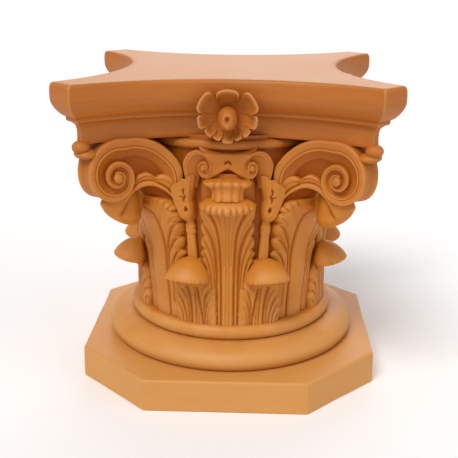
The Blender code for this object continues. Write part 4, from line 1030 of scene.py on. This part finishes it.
# Painted shade on the underside, and a painted sheen on the flat top.
abacus = np.concatenate([with_shade_and_sheen(under, 0.3), with_shade_and_sheen(abacus_rings, abacus_shade_and_sheen),
                         with_shade_and_sheen(over, -0.35)])
new_piece("abacus", [lofted(abacus)])


# Corner buds: the small round bud under each corner of the abacus, where two scrolls meet, on a flat
# cushion. Both are cast with the abacus.
def corner_oval(centre, radii, rows=28, columns=36):
    """Rings of an oval on the diagonal: radii are its reach along the diagonal, across it and upwards."""
    turn = np.radians(np.linspace(3, 177, rows))[:, None]
    around = all_round(columns)
    along = centre[0] + radii[0] * np.sin(turn) * np.cos(around)
    height = centre[1] + radii[2] * np.sin(turn) * np.sin(around)
    # Painted shade on the underside.
    under = 0.45 * ramp(np.sin(around), 0.1, -0.7) * np.sin(turn)
    return with_shade_and_sheen(on_diagonal(along, radii[1] * np.cos(turn), height), under)


bud = corner_oval((249, 341), (11, 11, 8.5))
cushion = corner_oval((243, 332), (13, 16, 6.5))
new_piece("corner_buds", four_sides(bud, cushion))


# Flowers: one on the middle of each side of the abacus, covering its mouldings. Ten petals with thick
# rims, painted pale as highlights, and a drooping boss with a drilled hole.
FLOWER_HEIGHT, THROAT_REACH = 376.5, 34
BOSS_HEIGHT, BOSS_LENGTH, BOSS_HALF_WIDTH, BOSS_HALF_HEIGHT, BEAD_HEIGHT = 375.5, 30, 12.5, 13.4, 367.5
PETAL_BOUNDS = np.array([-33, 33, 84, 116, 141, 164, 196, 219, 244, 276, 327])
PETAL_REACH = np.array([34, 41.5, 39, 34.5, 32, 33, 32, 34.5, 39, 41.5])


def on_face(across, height, proud):
    """Point proud of the upright face of the abacus."""
    return on_side(across, height, proud, 0)


def flower_petals(rows=28, columns=230):
    """Rings of the petals, from the throat out over the rims and back into the abacus.

    Each petal's outline is its reach less a share of the sixth power of the distance from its middle. The
    profile gives for each ring its share of the reach, and how far it stands out.
    """
    angle = np.linspace(PETAL_BOUNDS[0], PETAL_BOUNDS[-1], columns, endpoint=False)
    count = np.interp(angle, PETAL_BOUNDS, np.arange(len(PETAL_BOUNDS)))
    petal = np.minimum(count.astype(int), len(PETAL_REACH) - 1)
    from_middle = np.abs(2 * (count - petal) - 1)
    reach = PETAL_REACH[petal] * (1 - 0.22 * from_middle ** 6)
    profile = curve_through([
        (0.1, 1), (0.35, 1.5), (0.62, 4.5), (0.8, 10.5), (0.89, 16.5), (0.94, 18.8), (0.985, 18.6),
        (1, 15.5), (0.99, 11), (0.95, 5), (0.88, -4), (0.76, -24)], rows)
    share, stand = profile[:, :1], profile[:, 1:]
    outer = ramp(share, 0.45, 0.85)
    radius = share * (reach * outer + THROAT_REACH * (1 - outer))
    gap = groove(1 - from_middle, 0.13) * ramp(share, 0.35, 0.65)
    bearing = np.radians(angle)
    lower = 0.5 - 0.5 * np.cos(bearing)
    proud = stand * (1 - 0.35 * lower * (stand > 0)) - 1.6 * gap
    points = on_face(radius * np.sin(bearing), FLOWER_HEIGHT + radius * np.cos(bearing), proud)
    # Painted shade between the petals and in the throat, and a painted highlight on the standing rims.
    shade_and_sheen = np.clip(0.3 * gap + 0.5 * ramp(share, 0.75, 0.35), 0, 1)
    return with_shade_and_sheen(points, shade_and_sheen - 0.2 * ramp(stand, 9, 15) * (1 - gap))


def flower_boss(rows=28, columns=46):
    """Rings of the boss: a thumb that stands out and droops, with a hole and a bead below it."""
    share = np.linspace(0, 1, rows)[:, None]
    around = all_round(columns)
    size = np.sqrt(1 - np.clip((share - 0.45) / 0.56, 0, 1) ** 2)
    across = BOSS_HALF_WIDTH * size * np.sin(around)
    height = BOSS_HEIGHT - 3.5 * share ** 2 + BOSS_HALF_HEIGHT * size * np.cos(around)
    hole = groove(np.hypot(across, (height - BOSS_HEIGHT) * 0.9), 2.8) * ramp(share, 0.6, 0.9)
    bead = groove(np.hypot(across, height - BEAD_HEIGHT), 2.2) * ramp(share, 0.55, 0.85)
    # Shade is painted in the hole.
    return with_shade_and_sheen(on_face(across, height, BOSS_LENGTH * share - 7 * hole + 2.4 * bead), hole)


new_piece("flowers", four_sides(flower_petals(), flower_boss()), sharp_angle=75)


# Floor and studio light: a pale floor that runs on out of sight, lit evenly by a soft high light from the
# front left, a weaker one from the right, and a low one from behind that gives the flat top its sheen.
# The room is white.
FLOOR_HALF = 40
floor_corners = [(x * FLOOR_HALF, y * FLOOR_HALF, 0) for x, y in ((-1, -1), (1, -1), (1, 1), (-1, 1))]
floor_mesh = bpy.data.meshes.new("floor")
floor_mesh.from_pydata(floor_corners, [], [(0, 1, 2, 3)])
floor = bpy.data.objects.new("floor", floor_mesh)
bpy.context.scene.collection.objects.link(floor)
floor_paint = bpy.data.materials.new("pale_studio_floor")
floor_paint.use_nodes = True
floor_surface = floor_paint.node_tree.nodes["Principled BSDF"]
floor_surface.inputs["Base Color"].default_value = to_linear("#FBFAF9")
floor_surface.inputs["Roughness"].default_value = 0.9
floor_mesh.materials.append(floor_paint)

# Each light's direction, softness in degrees and strength.
LIGHTS = {"key": ((-0.45, -0.85, 1.3), 28, 1.9), "fill": ((1.3, -0.6, 0.9), 40, 0.35),
          "back": ((0.1, 1, 0.33), 45, 1)}
for name, (source, softness, power) in LIGHTS.items():
    lamp = bpy.data.objects.new(name + "_light", bpy.data.lights.new(name + "_light", 'SUN'))
    lamp.data.angle = math.radians(softness)
    lamp.data.energy = power
    lamp.rotation_euler = Vector(source).to_track_quat('Z', 'Y').to_euler()
    bpy.context.scene.collection.objects.link(lamp)

world = bpy.data.worlds.new("studio")
world.use_nodes = True
room = world.node_tree.nodes["Background"]
room.inputs["Color"].default_value = to_linear("#FFFFFF")
room.inputs["Strength"].default_value = 0.42
bpy.context.scene.world = world
bpy.context.scene.view_settings.view_transform = 'Standard'
